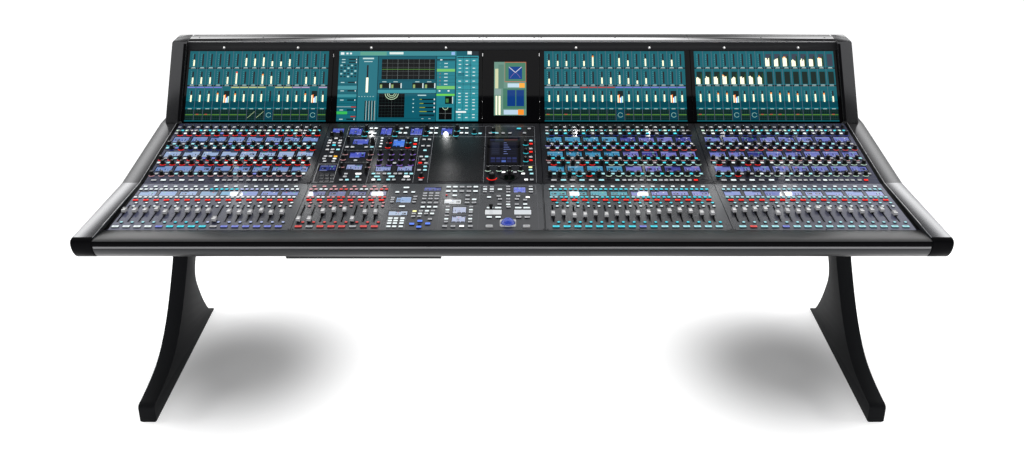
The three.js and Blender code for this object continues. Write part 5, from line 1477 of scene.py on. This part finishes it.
# Behind the desk: dim in the middle, bright to the sides, one bright strip low in the middle.
ax = calc("ABSOLUTE", sep.outputs["X"], 0.0)
low = ramp(sep.outputs["Z"], 0.30, 0.36, 0.22, 1.45)
high = calc("ADD", ramp(sep.outputs["Z"], 0.29, 0.33, 2.3, 1.4), ramp(sep.outputs["Z"], 0.345, 0.39, 0.0, 1.7))
sides = calc("ADD", low, calc("MULTIPLY", ramp(ax, 0.20, 0.34, 0.0, 1.0), calc("SUBTRACT", high, low)))
strip = calc("MULTIPLY", ramp(sep.outputs["Z"], 0.205, 0.225, 0.0, 1.0), ramp(sep.outputs["Z"], 0.31, 0.33, 1.0, 0.0))
inside = ramp(ax, 0.13, 0.24, 1.9, 0.08)
mixed = calc("ADD", calc("MULTIPLY", sides, calc("SUBTRACT", 1.0, strip)), calc("MULTIPLY", inside, strip))
rear = ramp(sep.outputs["Y"], 0.0, 0.25, 0.0, 1.0)
total = calc("ADD", calc("MULTIPLY", mixed, rear), calc("SUBTRACT", 1.0, rear))
nt.links.new(total, bg.inputs["Strength"])


def light(name, kind, loc, rot, power, **kw):
    d = bpy.data.lights.new(name, kind)
    d.energy = power
    for a, v in kw.items():
        setattr(d, a, v)
    o = bpy.data.objects.new(name, d)
    o.location, o.rotation_euler = loc, rot
    bpy.context.scene.collection.objects.link(o)
    return o


light("softbox", "AREA", (0, 0.52, 3.2), (0, 0, 0), 55.0, shape="RECTANGLE", size=7.0, size_y=2.506)
fill = light("front_fill", "AREA", (0, -3.4, 1.5), (math.radians(80), 0, 0), 60.0, shape="RECTANGLE", size=3.4, size_y=1.6)
fill.visible_glossy = False
for s in (-1, 1):
    o = light(f"side_fill_{'left' if s < 0 else 'right'}", "AREA", (s * 2.5, -0.05, 0.42), (0, s * math.radians(90), 0), 34.0,
              shape="RECTANGLE", size=0.7, size_y=1.3)
    o.visible_glossy = False
for i, x in enumerate(LAMPS):
    o = light(f"lamp_{i + 1}", "SPOT", WALL(x, w0 + 1.0, 14.0), (math.radians(-72), 0, 0), 7.0, spot_size=math.radians(66),
              spot_blend=0.35, shadow_soft_size=0.006, color=(1.0, 0.98, 0.95))
    o.visible_glossy = False
    for tag, at, to, power, cone, size in (("up", (x / 1000, 0.330, 0.820), (0.903 * x / 1000, 0.1815, 0.7385), 0.14, 30, 0.008),
                                           ("low", (x / 1000, 0.403, 0.984), (0.814 * x / 1000, -0.2175, 0.703), 0.24, 22, 0.022)):
        aim = (Vector(to) - Vector(at)).to_track_quat("-Z", "Y").to_euler()
        o = light(f"lamp_{i + 1}_glint_{tag}", "SPOT", at, aim, power, spot_size=math.radians(cone), spot_blend=1.0, shadow_soft_size=size)
        o.visible_diffuse = False

bpy.context.scene.view_settings.view_transform = "Standard"
bpy.context.scene.view_settings.look = "None"
